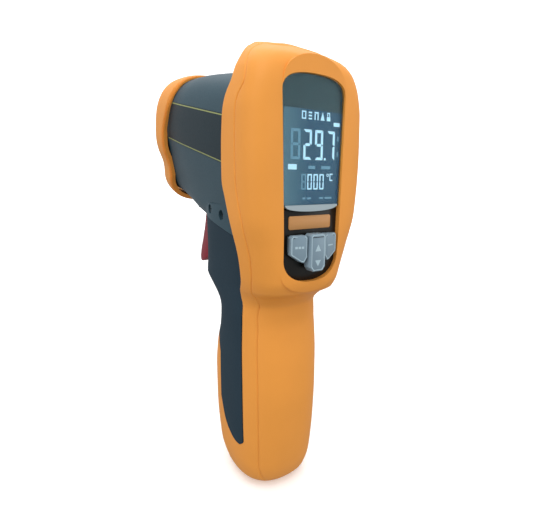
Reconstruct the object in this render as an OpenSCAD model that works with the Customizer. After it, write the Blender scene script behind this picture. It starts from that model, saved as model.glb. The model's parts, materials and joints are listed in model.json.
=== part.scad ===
/* [Head] */
// Width of the display head
head_w = 50; // [49.5:0.5:51]
// Distance from the grip's centre line to the flat display face
face_y = 31.4; // [31:0.2:32.4]
// Height of the crown above the grip's bottom
crown_z = 182; // [181.5:0.5:184]
// Height of the crest of the brow above the display
brow_z = 173; // [172:0.5:175]

/* [Grip] */
// Width of the grip
grip_w = 37; // [33:0.5:40]
// Distance from the centre line to the front of the palm swell
swell_front = 27; // [24:0.5:30]
// Distance from the centre line to the back of the palm swell
swell_back = 23; // [20:0.5:26]

/* [Barrel] */
// Upward tilt of the barrel
pitch = 12.8; // [8:0.2:16]
// Half width of the barrel
barrel_r = 22; // [20:0.5:23]
// Distance of the sight line from the tilted origin
sight_v = 144; // [142.4:0.2:145.4]
// Where the nose bezel starts along the sight line
nose_start = 86; // [82:1:90]
// Length of the nose bezel
nose_len = 25.5; // [23:0.5:27]

/* [Shell] */
// Wall thickness of the shells
wall = 2.2; // [1.8:0.1:2.6]
// Depth of the soft grip pads let into the shell
pad_t = 1.1; // [0.8:0.1:1.2]
// Gap between neighbouring shells
seam = 0.16; // [0.1:0.02:0.3]

/* [Display] */
// Half width of the display window
window_r = 12.4; // [12:0.2:13]
// Top of the display window
window_top = 166.6; // [165:0.2:167.4]
// Bottom of the display window
window_low = 95.6; // [95:0.2:97]
// Height where the lens ends and the key panel begins
lens_low = 122.8; // [121:0.2:124]

/* [Keys] */
// How far the rocker key stands out of the key panel
key_proud = 5.3; // [4.8:0.1:5.6]
// Travel of the two side keys
key_travel = 0.8; // [0.4:0.1:1]
// Gap around each key
key_gap = 0.4; // [0.3:0.05:0.6]

/* [Trigger] */
// Width of the trigger
trigger_w = 11; // [9:0.5:12]
// Radius of the trigger's pivot pin
trigger_pin_r = 1.25; // [1:0.05:1.5]

/* [Battery] */
// Width of the battery
battery_w = 26.2; // [25.5:0.1:26.4]
// Depth of the battery
battery_d = 17.2; // [16.5:0.1:17.4]
// Height of the battery without its studs
battery_h = 46.4; // [45:0.1:46.5]

/* [Tripod socket] */
// Minor radius of the quarter inch thread
socket_r = 2.55; // [2.5:0.01:2.6]
// Depth of the thread
socket_depth = 8; // [6:0.5:9]

/* [Hidden] */

// Colours
orange = "#E8983F";
slate = "#2E3D47";
slate_pad = "#33434C";
black = "#171717";
crimson = "#9A2A3A";
steel = "#B5B8BA";
brass = "#C2A14E";
board_green = "#1F5B3A";

$fn = 48;
grip_r = grip_w / 2;
head_r = head_w / 2;
ring_points = 32;

// Outer form of the head and the grip, from the bottom to the crown.
// Each row: height, half width, back y, front y, squareness of the section
body_rows = [
    [0, grip_r - 9, 12.5 - swell_back, swell_front - 17, 2.2],
    [2, grip_r - 5, 8.6 - swell_back, swell_front - 12.5, 2.4],
    [6, grip_r - 2, 5.2 - swell_back, swell_front - 8.5, 2.5],
    [14, grip_r - 0.5, 3 - swell_back, swell_front - 4, 2.6],
    [32, grip_r, 0.8 - swell_back, swell_front - 0.5, 2.6],
    [47, grip_r, -swell_back, swell_front, 2.6],
    [60, grip_r, 0.4 - swell_back, swell_front - 2.5, 2.6],
    [70, grip_r - 0.2, 1.5 - swell_back, swell_front - 6.5, 2.6],
    [77, grip_r - 0.3, 2.4 - swell_back, swell_front - 7.5, 2.6],
    [83, grip_r - 0.2, 2 - swell_back, swell_front - 1, 2.6],
    [88, grip_r + 0.4, -face_y + 6, swell_front + 6, 2.9],
    [91, grip_r + 1.4, -face_y + 1.6, swell_front + 7, 3.4],
    [96, grip_r + 3, -face_y, swell_front + 5, 4],
    [108, head_r - 1.4, -face_y, swell_front + 3, 6],
    [120, head_r, -face_y, swell_front, 7.5],
    [139, head_r + 0.3, -face_y, swell_front - 5, 8],
    [155, head_r + 0.1, -face_y, swell_front - 8, 7.5],
    [162, head_r - 0.8, -face_y + 0.1, swell_front - 14, 6.5],
    [168, head_r - 2.2, -face_y + 0.8, swell_front - 22, 5],
    [172, head_r - 4.2, -face_y + 2.4, swell_front - 28, 4],
    [176, head_r - 7.2, -face_y + 8, swell_front - 31.5, 3.2],
    [179, head_r - 11.5, -face_y + 14, swell_front - 32.5, 2.8],
    [crown_z - 1, head_r - 15.5, -face_y + 18.5, swell_front - 32.5, 2.5],
    [crown_z, head_r - 20, -face_y + 21.5, swell_front - 33, 2.2]
];

// How the inner faces of a shell are shifted in height, as a part of the wall
shift_rows = [[0, -1], [10, 0], [82, 0], [88, -1], [98, -1], [106, 0], [160, 0], [167, 1], [190, 1]];

// Parting lines on the side of the body, as height and y
groove_rows = [[0, -14.6], [12, -15.3], [27, -16.3], [48, -16.7], [70, -16.2], [80, -15.8], [89, -18.2],
    [97, -21.7], [106, -23.4], [115, -23.5], [125, -21.7], [130, -20.6], [142, -20.4], [154, -20.5],
    [158.5, -21.6], [163, -24.6], [167, -23.9], [171, -22.4], [187, -17]];
edge_rows = [[15, -9], [86, -9.2], [96, -15], [105, -16.4], [115, -14.9], [125, -11.6], [132, -9.3],
    [142, -9.4], [153, -10.2], [160, -11.6], [166, -15.2], [173, -15.6], [187, -16.4]];

// Smooth curve through rows of [position, value, ...], with no overshoot
function stretch(rows, t, i = 0) = i >= len(rows) - 2 || t < rows[i + 1][0] ? i : stretch(rows, t, i + 1);
function grade(rows, i, k) = (rows[i + 1][k] - rows[i][k]) / (rows[i + 1][0] - rows[i][0]);
function bend(a, b) = a * b <= 0 ? 0 : 2 * a * b / (a + b);
function tangent(rows, i, k) =
    i == 0 || i == len(rows) - 1
        ? grade(rows, min(i, len(rows) - 2), k)
        : bend(grade(rows, i - 1, k), grade(rows, i, k));
function along(rows, t, k = 1) =
    let (i = stretch(rows, t), h = rows[i + 1][0] - rows[i][0])
    let (s = min(1, max(0, (t - rows[i][0]) / h)), a = rows[i][k], b = rows[i + 1][k])
    let (ma = tangent(rows, i, k) * h, mb = tangent(rows, i + 1, k) * h)
    a + s * ma + s * s * (3 * (b - a) - 2 * ma - mb) + s * s * s * (2 * (a - b) + ma + mb);

// Points of a superellipse from its half width, its two ends and its squareness
function bulge(c, n) = sign(c) * pow(abs(c), 2 / n);
function oval(half, low, high, n, count = ring_points) = [
    for (i = [0:count - 1])
        let (a = 360 * (i + 0.5) / count)
        [half * bulge(cos(a), n), (low + high) / 2 + (high - low) / 2 * bulge(sin(a), n)]
];

// Closed ring of the body at one height, drawn in by an inset
function body_ring(z, inset) =
    let (h = z + inset * along(shift_rows, z))
    [for (p = oval(along(body_rows, h, 1) - inset, along(body_rows, h, 2) + inset,
            along(body_rows, h, 3) - inset, along(body_rows, h, 4))) [p[0], p[1], z]];

module between(a, b)
    hull()
        polyhedron(concat(a, b), concat(
            [[for (i = [0:len(a) - 1]) i]],
            [[for (i = [len(b) - 1:-1:0]) len(a) + i]],
            [for (i = [0:len(a) - 1]) [i, len(a) + i, len(a) + (i + 1) % len(a), (i + 1) % len(a)]]));

body_levels = [0, 1, 2.5, 5, 9, 14, 22, 34, 47, 60, 70, 77, 81, 84, 86, 88, 90, 92, 95, 99, 103,
    108, 114, 124, 140, 155, 160, 164, 168, 170, 172, 174, 176, 179, crown_z - 1, crown_z];

module body_form(inset)
    for (i = [0:len(body_levels) - 2])
        let (low = max(body_levels[i], inset), high = min(body_levels[i + 1], crown_z - inset))
        if (high > low + 0.01)
            between(body_ring(low, inset), body_ring(high, inset));

// Barrel and nose, in a frame that tilts with the barrel: u runs along the sight line and v across it.
// Each row: u, then half width, low v, high v and squareness of the upper lobe,
// then half width, low v and high v of the lower lobe
nose_end = nose_start + nose_len;
barrel_rows = [
    [0, barrel_r, -21, 25.8, 3, barrel_r - 5, -41, -12],
    [30, barrel_r, -21, 25, 3, barrel_r - 5, -41.6, -12],
    [56, barrel_r, -21, 23.8, 3, barrel_r - 5.5, -42.5, -12],
    [nose_start - 17, barrel_r, -21, 23, 2.9, barrel_r - 6, -42, -12],
    [nose_start - 11, barrel_r - 0.1, -21, 22.4, 2.8, barrel_r - 6.4, -41.2, -12],
    [nose_start - 4, barrel_r - 0.4, -21, 21.8, 2.7, barrel_r - 6.6, -40.2, -12],
    [nose_start + 6, barrel_r - 0.8, -20.8, 20.4, 2.6, barrel_r - 7, -39.4, -12],
    [nose_start + 12, barrel_r - 0.9, -20.8, 19.8, 2.6, barrel_r - 7, -39.2, -12]
];
nose_rows = [
    [nose_start, barrel_r + 0.7, -24.6, 22.2, 2.8, barrel_r - 5, -41, -12],
    [nose_start + 3, barrel_r + 1.4, -26.6, 22.4, 2.8, barrel_r - 4.2, -42, -12],
    [nose_start + 16, barrel_r + 1.2, -27.8, 21.1, 2.8, barrel_r - 4.4, -42.8, -12],
    [nose_end - 3.5, barrel_r + 0.2, -27.2, 19.6, 2.7, barrel_r - 5.2, -42.4, -13],
    [nose_end, barrel_r - 1.6, -25.6, 17.4, 2.6, barrel_r - 6.8, -40.8, -14]
];

function upper_lobe(rows, u, inset) =
    [for (p = oval(along(rows, u, 1) - inset, sight_v + along(rows, u, 2) + inset,
            sight_v + along(rows, u, 3) - inset, along(rows, u, 4))) [p[0], u, p[1]]];
function lower_lobe(rows, u, inset) =
    [for (p = oval(along(rows, u, 5) - inset, sight_v + along(rows, u, 6) + inset,
            sight_v + along(rows, u, 7) - inset, 2.2)) [p[0], u, p[1]]];

module barrel_form(inset, levels)
    rotate([pitch, 0, 0])
        for (i = [0:len(levels) - 2])
            between(
                concat(upper_lobe(barrel_rows, levels[i], inset), lower_lobe(barrel_rows, levels[i], inset)),
                concat(upper_lobe(barrel_rows, levels[i + 1], inset),
                    lower_lobe(barrel_rows, levels[i + 1], inset)));

module nose_form(inset, levels)
    rotate([pitch, 0, 0])
        for (i = [0:len(levels) - 2]) {
            between(upper_lobe(nose_rows, levels[i], inset), upper_lobe(nose_rows, levels[i + 1], inset));
            between(lower_lobe(nose_rows, levels[i], inset), lower_lobe(nose_rows, levels[i + 1], inset));
        }

// Region of the side view, as y and z points, right through the body
module side_region(points)
    rotate([90, 0, 90])
        linear_extrude(2 * head_w, center = true)
            polygon(points);

// Front of the grip and the throat behind the trigger, in the same form as body_rows
front_rows = [
    body_rows[0], body_rows[1], body_rows[2], body_rows[3], body_rows[4], body_rows[5], body_rows[6],
    body_rows[7], body_rows[8],
    [80, grip_r - 0.5, 2 - swell_back, swell_front - 6, 2.6],
    [83.4, grip_r - 0.9, 2 - swell_back, swell_front - 1, 2.7],
    [86.6, grip_r - 1.2, 2 - swell_back, swell_front + 5.5, 2.8],
    [89.7, grip_r - 1.4, 2 - swell_back, swell_front + 10.5, 2.9],
    [96, grip_r - 1.4, 2 - swell_back, swell_front + 9, 3],
    [111, grip_r - 1.2, 2 - swell_back, swell_front + 8.5, 3],
    [124, grip_r - 1, 2 - swell_back, swell_front + 8.5, 3]
];
front_levels = [0, 1, 2.5, 5, 9, 14, 22, 34, 47, 60, 70, 77, 81, 84, 86.6, 89.7, 96, 111, 122];
barrel_levels = [4, 30, 56, nose_start - 17, nose_start - 14, nose_start - 11, nose_start - 7, nose_start - 4,
    nose_start, nose_start + 6, nose_start + 12];
nose_levels = [nose_start, nose_start + 3, nose_start + 16, nose_end - 5.8, nose_end - 3.5, nose_end - 1.6,
    nose_end];

function front_ring(z, inset) =
    let (h = z + inset * min(0, along(shift_rows, z)))
    [for (p = oval(along(front_rows, h, 1) - inset, along(front_rows, h, 2) + inset,
            along(front_rows, h, 3) - inset, along(front_rows, h, 4))) [p[0], p[1], z]];

module front_form(inset)
    for (i = [0:len(front_levels) - 2])
        let (low = max(front_levels[i], inset), high = front_levels[i + 1])
        if (high > low + 0.01)
            between(front_ring(low, inset), front_ring(high, inset));

// Lines that part the shells, seen from the side
far = 120;
pad_top_back = 107;
pad_top_front = 118;
door_edge = 9.2;
door_high = 67;
groove_line = [for (z = [0:3:186]) [along(groove_rows, z), z]];
edge_line = [for (z = [22:3:187]) [along(edge_rows, z), z]];
rim_line = [for (z = [88:3:187]) [along(edge_rows, z), z]];
pad_line = [for (z = [22:3:pad_top_back]) [along(edge_rows, z), z]];
pad_tip = [[6.5, 30], [4, 25.6], [0.5, 22.6], [-3.5, 20.6], [-7, 20.4]];

function shifted(points, dy, dz = 0) = [for (p = points) [p[0] + dy, p[1] + dz]];
function turned(points) = [for (i = [len(points) - 1:-1:0]) points[i]];

module behind_groove()
    side_region(concat(shifted(groove_line, -seam / 2), [[-far, far * 2], [-far, -1]]));

module ahead_of_groove()
    side_region(concat(shifted(groove_line, seam / 2), [[far, far * 2], [far, -1]]));

module band_region()
    side_region(concat(
        [[-far, -1]],
        [[-far, far * 2], [-14, far * 2]],
        turned(shifted(edge_line, -seam)),
        turned(shifted(pad_tip, 0, -seam)),
        [[door_edge, 36], [door_edge, -1]]));

module pad_region()
    side_region(concat(
        pad_tip,
        pad_line,
        [[along(edge_rows, pad_top_back), pad_top_back]],
        [[far, pad_top_front + 18], [far, door_high + 2.4], [24, door_high + 2.2], [17, door_high]],
        [[11.5, door_high - 4.5], [door_edge, door_high - 10], [door_edge, 36]]));

module door_region()
    side_region([[door_edge + seam, -1], [far, -1], [far, door_high + 2.2],
        [24, door_high + 2.2 - seam], [17 + seam / 2, door_high - seam],
        [11.5 + seam, door_high - 4.5 - seam], [door_edge + seam, door_high - 10 - seam]]);

module half(side)
    translate([side > 0 ? seam / 4 : -far - seam / 4, -far, -far])
        cube([far, 3 * far, 4 * far]);

// Outline of the display window in x and z, grown all round
function window_outline(grow) = concat(
    [for (a = [0:12:180]) [(window_r + 1.1 + grow) * bulge(cos(a), 2.6),
        window_top - window_rise + (window_rise + grow) * bulge(sin(a), 2.6)]],
    [for (a = [180:12:360]) [(window_r - 0.2 + grow) * bulge(cos(a), 2.3),
        window_low + window_drop + (window_drop + grow) * bulge(sin(a), 2.3)]]);
window_rise = 6.6;
window_drop = 9.4;

// Depth planes of the display stack, from the flat face inwards
lens_y = -face_y + 0.9;
panel_y = -face_y + 1.9;
inner_y = -face_y + wall;
panel_back = panel_y + 1.2;
rocker_y = panel_y - key_proud;
key_inner_y = rocker_y + 1.1;
key_outer_y = rocker_y + 2.5;
flange_y = panel_back + 0.3;
mat_y = flange_y + 0.8 + key_travel + 0.4;
board_y = mat_y + 5.4;
board_t = 1.6;
panel_top = lens_low - 1.1;

// Extrudes an x, z outline between two y planes
module on_face(y0, y1)
    translate([0, y1, 0])
        rotate([90, 0, 0])
            linear_extrude(y1 - y0)
                children();

// Extrudes a y, z outline between two x planes
module on_side(x0, x1)
    translate([x0, 0, 0])
        rotate([90, 0, 90])
            linear_extrude(x1 - x0)
                children();

// Cylinder along x between two x planes, at a y, z spot
module rod_x(x0, x1, spot, r)
    translate([x0, spot[0], spot[1]])
        rotate([0, 90, 0])
            cylinder(x1 - x0, r, r);

// Cylinder along y between two y planes, at an x, z spot
module rod_y(y0, y1, spot, r)
    translate([spot[0], y1, spot[1]])
        rotate([90, 0, 0])
            cylinder(y1 - y0, r, r);

// Places children in the frame of the sight line, with z along it and y across it
module on_sight(u, v = sight_v)
    rotate([pitch, 0, 0])
        translate([0, u, v])
            rotate([-90, 0, 0])
                children();

// Children on both sides of the symmetry plane
module both()
    for (side = [-1, 1])
        scale([side, 1, 1])
            children();

// Outlines in x and z of a side key's cap, of its stem grown by a gap, and of the rocker's cap and stem
function mirrored(side, points) = [for (p = points) [side * p[0], p[1]]];
function cap_outline(side) = mirrored(side, [[10.3, 106.2], [10.3, 112.2], [9.6, 113], [4.6, 113],
    [3.9, 112.3],
    [3.9, 105.2], [5.2, 103.3], [6.2, 103.5]]);
function stem_outline(side, g) = mirrored(side, [[9.4 + g, 106.8 - g], [9.4 + g, 112.2 + g],
    [5 - g, 112.2 + g],
    [5 - g, 104.9 - g], [6 + g * 0.4, 104.9 - g]]);
rocker_cap = [[-3.3, 101.4], [-3.3, 112.7], [-2.6, 113.4], [2.6, 113.4], [3.3, 112.7],
    [3.3, 101.4], [2.2, 100],
    [-2.2, 100]];
function rocker_stem(g) = [[-2.4 - g, 102 - g], [-2.4 - g, 111.6 + g], [2.4 + g, 111.6 + g],
    [2.4 + g, 102 - g]];
rocker_gap = 0.5;
rocker_axis = [-27.4, 106.8];
rocker_pin_r = 0.8;
rocker_lug = 4.2;
cap_back = panel_y - 1.2;

// Bosses for the screws that close the two housings, as y and z spots, and for the board, as x and z spots
case_spots = [[19.5, 119.4], [7.5, 117.6]];
board_spots = [[17.6, 109], [17.6, 160]];
head_x = -14.6;
run = 0.05;

module body_shell()
    difference() {
        body_form(0);
        body_form(wall);
    }

// Crescent that stands proud of the dome above the window
module brow()
    intersection() {
        on_face(-face_y, -face_y + 9)
            difference() {
                polygon(concat([[-13.2, 160]], [for (a = [180:-10:0]) [13.2 * cos(a),
                    162 + (brow_z - 162) * bulge(sin(a), 2.4)]], [[13.2, 160]]));
                translate([-14, 150])
                    square([28, 10.5]);
            }
        hull()
            for (z = [156, 176])
                translate([0, -face_y + 25, z])
                    cube([2 * head_r - 16, 50, 0.1], center = true);
    }

module rear_cover()
    color(orange)
        difference() {
            union() {
                intersection() {
                    body_shell();
                    behind_groove();
                }
                difference() {
                    brow();
                    body_form(wall);
                }
                both()
                    for (s = board_spots)
                        intersection() {
                            rod_y(inner_y - 1, board_y - run, s, 2.2);
                            body_form(wall / 2);
                        }
            }
            on_face(-face_y - 9, inner_y + 9)
                intersection() {
                    polygon(window_outline(0));
                    translate([-head_r, 0])
                        square([head_w, far * 2]);
                }
            on_face(inner_y, inner_y + 12)
                polygon(window_outline(1.5));
            both()
                for (s = board_spots)
                    rod_y(inner_y + 0.8, board_y + 1, s, board_screw_r + run);
        }
board_screw_r = 0.95;

insert_r = 4.2;
insert_h = 8.6;
rim = 1.4;
hinge_spot = [door_edge + 0.1, 2.2];
hinge_r = 1.7;
hinge_edge = 2.6;
hinge_clear = 3;
hinge_pin_r = 0.9;
hinge_lug = 2;
hinge_end = 6;

module body_band()
    color(orange)
        difference() {
            union() {
                difference() {
                    intersection() {
                        body_form(0);
                        ahead_of_groove();
                        band_region();
                    }
                    intersection() {
                        body_form(wall);
                        side_region(concat([[-far, 0], [-far, far * 2], [-16 - rim, far * 2]],
                            turned(shifted(rim_line, -rim)), [[far, 86], [far, 0]]));
                    }
                }
                intersection() {
                    body_form(wall / 2);
                    cylinder(insert_h, insert_r + 2, insert_r + 2);
                }
            }
            barrel_form(-seam, barrel_levels);
            intersection() {
                front_form(-seam);
                translate([-far, -far, 86])
                    cube(2 * far);
            }
            rod_x(-far, far, hinge_spot, hinge_clear);
            translate([0, 0, -1])
                cylinder(insert_h + 2, insert_r + run, insert_r + run);
        }

// Bracket that stands on the tripod boss and carries the middle of the door's hinge
module hinge_bracket()
    color(black)
        difference() {
            union() {
                rod_x(-hinge_lug, hinge_lug, hinge_spot, hinge_r);
                on_side(-hinge_lug, hinge_lug)
                    polygon([[6.35, 2.3], [hinge_spot[0], 2.3], [8.1, 4.4], [8.1, insert_h + 1.6],
                        [-5, insert_h + 1.6], [-5, insert_h + run], [6.35, insert_h + run]]);
            }
            rod_x(-hinge_lug - 1, hinge_lug + 1, hinge_spot, hinge_pin_r);
        }

// Outline in y and z of the arms that tie the hinge knuckles to the door
arm_outline = [[hinge_spot[0], 2.2], [8, 3.4], [13, 10], [18.4, 10], [14.8, 6], [12.4, 4.3], [10.6, 2.4]];
module door_knuckles()
    color(black)
        both()
            difference() {
                union() {
                    rod_x(hinge_lug + 0.4, hinge_end, hinge_spot, hinge_r);
                    on_side(hinge_lug + 0.4, hinge_end)
                        polygon(arm_outline);
                }
                rod_x(hinge_lug, hinge_end + 1, hinge_spot, hinge_pin_r + run);
            }

module battery_door()
    color(orange)
        difference() {
            union() {
                intersection() {
                    difference() {
                        front_form(0);
                        front_form(wall);
                    }
                    door_region();
                }
                intersection() {
                    both()
                        rod_x(hinge_end + run, head_r, hinge_spot, hinge_edge);
                    front_form(0);
                }
            }
            rod_x(-hinge_end - run, hinge_end + run, hinge_spot, hinge_edge);
            both()
                on_side(hinge_lug + 0.4 - run, hinge_end + run)
                    offset(run)
                        polygon(arm_outline);
        }

module door_hinge_pin()
    color(steel)
        rod_x(-hinge_end, hinge_end, hinge_spot, hinge_pin_r);

// Spring tongue behind the top of the battery door
latch_z = 50;
module door_latch()
    color(black)
        union() {
            on_side(-5, 5)
                polygon([[17.2, latch_z], [18.6, latch_z - 1], [18.6, latch_z + 11], [17.6, latch_z + 13.4],
                    [16.4, latch_z + 13.4], [17.2, latch_z + 10]]);
            for (x = [-3, 3])
                translate([x - 0.6, 18.5, latch_z])
                    cube([1.2, 3.6, 9]);
        }

// Soft pads over the sides and the throat of the grip
slot_r = trigger_w / 2 + 0.5;
module trigger_slot()
    on_side(-slot_r, slot_r)
        polygon([[29, 88.6], [far, 88.6], [far, 112], [53.8, 116], [53.8, 122], [33, 122], [29, 108]]);

module grip_pad(side)
    color(slate_pad)
        intersection() {
            half(side);
            difference() {
                front_form(0);
                front_form(pad_t);
                trigger_slot();
            }
            pad_region();
        }
module grip_pad_left()
    grip_pad(-1);
module grip_pad_right()
    grip_pad(1);

function sight_point(u, v) = [u * cos(pitch) - v * sin(pitch), u * sin(pitch) + v * cos(pitch)];
label_low = sight_v - 8.8;
label_high = sight_v + 8.8;
label_ends = [22, nose_start - 3];
label_t = 0.25;
module label_region(grow)
    difference() {
        side_region([sight_point(label_ends[0] - grow, label_low - grow),
            sight_point(label_ends[1] + grow, label_low - grow),
            sight_point(label_ends[1] + grow, label_high + grow),
            sight_point(label_ends[0] - grow, label_high + grow)]);
        cube([2 * barrel_r - 16, 4 * far, 4 * far], center = true);
    }

// Grip side of the housings: thinner under the soft pads, and full size in the collar above them
module front_core() {
    intersection() {
        front_form(pad_t + run);
        pad_region();
    }
    intersection() {
        front_form(0);
        side_region([[along(edge_rows, pad_top_back), pad_top_back + seam],
            [far, pad_top_front + 18 + seam], [far, far * 2], [along(edge_rows, pad_top_back), far * 2]]);
    }
}

pivot = [44, 119.6];
lug_x = 8.6;
module housing(side)
    color(slate)
        intersection() {
            half(side);
            difference() {
                union() {
                    difference() {
                        union() {
                            barrel_form(0, barrel_levels);
                            front_core();
                        }
                        barrel_form(wall, concat([0], barrel_levels, [nose_end]));
                        front_form(wall);
                    }
                    intersection() {
                        union() {
                            for (s = case_spots)
                                rod_x(-barrel_r, barrel_r, s, 3.2);
                            both()
                                on_side(lug_x, barrel_r)
                                    polygon([[pivot[0] - 3.4, 112], [pivot[0] + 3.4, 112],
                                        [pivot[0] + 3.4, pivot[1] + 1.4], [pivot[0] + 1.6, pivot[1] + 3.2],
                                        [pivot[0] - 1.6, pivot[1] + 3.2],
                                        [pivot[0] - 3.4, pivot[1] + 1.4]]);
                            on_side(-barrel_r, -switch_r - run)
                                polygon([[switch_spot[0] - 3, switch_spot[1] - 5.6],
                                    [switch_spot[0] + 3, switch_spot[1] - 5.6],
                                    [switch_spot[0] + 3, switch_spot[1] + 5],
                                    [switch_spot[0] - 3, switch_spot[1] + 5]]);
                        }
                        union() {
                            barrel_form(wall / 2, barrel_levels);
                            front_core();
                        }
                    }
                }
                intersection() {
                    difference() {
                        barrel_form(-1, barrel_levels);
                        barrel_form(label_t, barrel_levels);
                    }
                    label_region(run);
                }
                intersection() {
                    difference() {
                        front_form(-seam);
                        front_form(pad_t + run);
                    }
                    pad_region();
                }
                side_region(concat([[-far, 0], [-far, far * 2], [-16 - rim, far * 2]],
                    turned(shifted(edge_line, -rim - 0.5)), [[-9, 22], [-9, 0]]));
                trigger_slot();
                rod_x(-12, 12, pivot, trigger_pin_r + 0.02);
                rod_x(-lug_x, lug_x, pivot, hub_r + 0.5);
                for (s = case_spots) {
                    rod_x(-far, head_x, s, head_r2);
                    rod_x(-far, 0, s, screw_r + 0.25);
                    rod_x(-1, 9, s, screw_r + run);
                }
            }
        }
screw_r = 1.2;
head_r2 = 2.1;
module housing_left()
    housing(-1);
module housing_right()
    housing(1);

// Back edge of the bezel, as distance along and across the sight line from where it starts
bezel_back = [[-2, 40], [-0.2, 15], [1.6, 8], [3.5, 2], [6.4, -5], [7.4, -12], [8, -25], [10, -46]];
module nose_bezel()
    color(orange)
        difference() {
            nose_form(0, nose_levels);
            nose_form(bezel_t, concat([nose_start - 2], nose_levels, [nose_end + 2]));
            barrel_form(-seam, [nose_start - 4, nose_start, nose_start + 6, nose_start + 12.2]);
            side_region(concat([for (p = bezel_back) sight_point(nose_start + p[0], sight_v + p[1])],
                [[-far, 0], [-far, far * 2]]));
        }
bezel_t = 2.4;
plate_u = nose_end - 5.6;
plate_t = 2.2;
plate_gap = bezel_t + 0.5;
function plate_row(k) = along(nose_rows, plate_u + plate_t, k)
    + (k == 1 || k == 3 || k == 5 || k == 7 ? -plate_gap : k == 2 || k == 6 ? plate_gap : 0);
tube_r = 12;
laser_spots = [[-6.6, sight_v - 25.5], [6.6, sight_v - 25.5]];
laser_r = 3.25;

module aperture_plate()
    color(black)
        difference() {
            union() {
                on_sight(plate_u)
                    linear_extrude(plate_t) {
                        polygon([for (p = oval(plate_row(1), plate_row(2), plate_row(3), plate_row(4)))
                            [p[0], -p[1]]]);
                        polygon([for (p = oval(plate_row(5), plate_row(6), plate_row(7),
                            2.2)) [p[0], -p[1]]]);
                    }
                on_sight(plate_u - 8)
                    cylinder(8.2, tube_r + 1.6, tube_r + 1.6);
                for (s = laser_spots)
                    translate([s[0], 0, 0])
                        on_sight(plate_u - 10, s[1])
                            cylinder(10.2, laser_r + 1.2, laser_r + 1.2);
            }
            on_sight(plate_u - 9)
                cylinder(9, tube_r + run, tube_r + run);
            on_sight(plate_u - 1)
                cylinder(8, 9.4, 9.4);
            for (s = laser_spots)
                translate([s[0], 0, 0]) {
                    on_sight(plate_u - 11, s[1])
                        cylinder(11, laser_r + run, laser_r + run);
                    on_sight(plate_u - 1, s[1])
                        cylinder(8, 2.6, 2.6);
                }
        }

module optic_tube()
    color(black)
        difference() {
            on_sight(tube_u)
                cylinder(plate_u - tube_u - 0.1, tube_r, tube_r);
            on_sight(tube_u + 2)
                cylinder(nose_len + 40, tube_r - 2, tube_r - 2);
            on_sight(tube_u - 1)
                cylinder(4, can_r + run, can_r + run);
            on_sight(plate_u - 4)
                cylinder(8, tube_r - 1.2, tube_r - 1.2);
        }
tube_u = 52;
can_r = 4.6;

module ir_lens()
    color("#4A4F55")
        on_sight(plate_u - 4 + run)
            rotate_extrude()
                polygon(concat([[0, 0], [tube_r - 1.3, 0], [tube_r - 1.3, 1.1]],
                    [for (i = [9:-1:0]) [i, 1.1 + 1.1 * (1 - i * i / 100)]]));

module lens_ring()
    color(black)
        on_sight(plate_u - 1.5)
            difference() {
                cylinder(1.3, tube_r - 1.3, tube_r - 1.3);
                translate([0, 0, -1])
                    cylinder(4, 9.4, 9.4);
            }

module sensor_can()
    color(steel)
        on_sight(tube_u - 4.2)
            difference() {
                union() {
                    cylinder(6.8, can_r, can_r);
                    cylinder(0.8, can_r + 0.8, can_r + 0.8);
                    for (a = [45:90:315])
                        rotate(a)
                            translate([2.6, 0, -2.6])
                                cylinder(2.7, 0.22, 0.22);
                }
                translate([0, 0, 6])
                    cylinder(2, 2.4, 2.4);
            }

module sensor_board()
    color(board_green)
        on_sight(tube_u - 6)
            difference() {
                translate([-11, -9, 0])
                    cube([22, 18, 1.6]);
                for (a = [45:90:315])
                    rotate(a)
                        translate([2.6, 0, -1])
                            cylinder(4, 0.32, 0.32);
            }

// Flat cable from the sensor board back to the main board
module ribbon_cable()
    color("#C9CDD2")
        on_side(-4, 4)
            polygon([[board_y + board_t + run, 146], [board_y + board_t + run, 145.4],
                [-8, 145.4], [-2, 147],
                [4, 150.4], [12.6, 150.6], [12.6, 151.2], [3.6, 151], [-2.6, 147.6], [-8.2, 146]]);

module laser_modules()
    color(brass)
        for (s = laser_spots)
            translate([s[0], 0, 0])
                on_sight(plate_u - 26, s[1])
                    union() {
                        cylinder(25.6, laser_r, laser_r);
                        translate([0, 0, -4])
                            cylinder(4.1, laser_r - 0.9, laser_r - 0.9);
                        translate([-1.4, -2, -9])
                            cube([2.8, 0.8, 5.1]);
                    }

module laser_windows()
    color("#7A1F22")
        for (s = laser_spots)
            translate([s[0], 0, 0])
                on_sight(plate_u + 0.1, s[1])
                    cylinder(1.4, 2.55, 2.55);

module side_label()
    color("#222B2E")
        difference() {
            intersection() {
                barrel_form(0, barrel_levels);
                label_region(0);
                side_region([[-7, 0], [far, 0], [far, far * 2], [-7, far * 2]]);
            }
            barrel_form(label_t - 0.01, concat([0], barrel_levels, [nose_end]));
        }

module tripod_insert()
    color(brass)
        difference() {
            cylinder(insert_h - 0.2, insert_r, insert_r);
            translate([0, 0, -1])
                cylinder(socket_depth + 1, socket_r, socket_r);
        }

module display_lens()
    color("#5A7481")
        union() {
            on_face(lens_y, inner_y + 0.15)
                intersection() {
                    polygon(window_outline(-0.1));
                    translate([-head_r, lens_low])
                        square([head_w, 60]);
                }
            on_face(inner_y + 0.1, inner_y + 1.1)
                intersection() {
                    polygon(window_outline(1.2));
                    translate([-head_r, lens_low])
                        square([head_w, 60]);
                }
            on_face(lens_y - 0.3, lens_y + 0.9)
                polygon([[-window_r + 0.2, lens_low + 0.7], [-window_r + 0.2, lens_low - 0.1],
                    [-5, lens_low - 0.7], [5, lens_low - 0.7], [window_r - 0.2, lens_low - 0.1],
                    [window_r - 0.2, lens_low + 0.7]]);
        }

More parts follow.
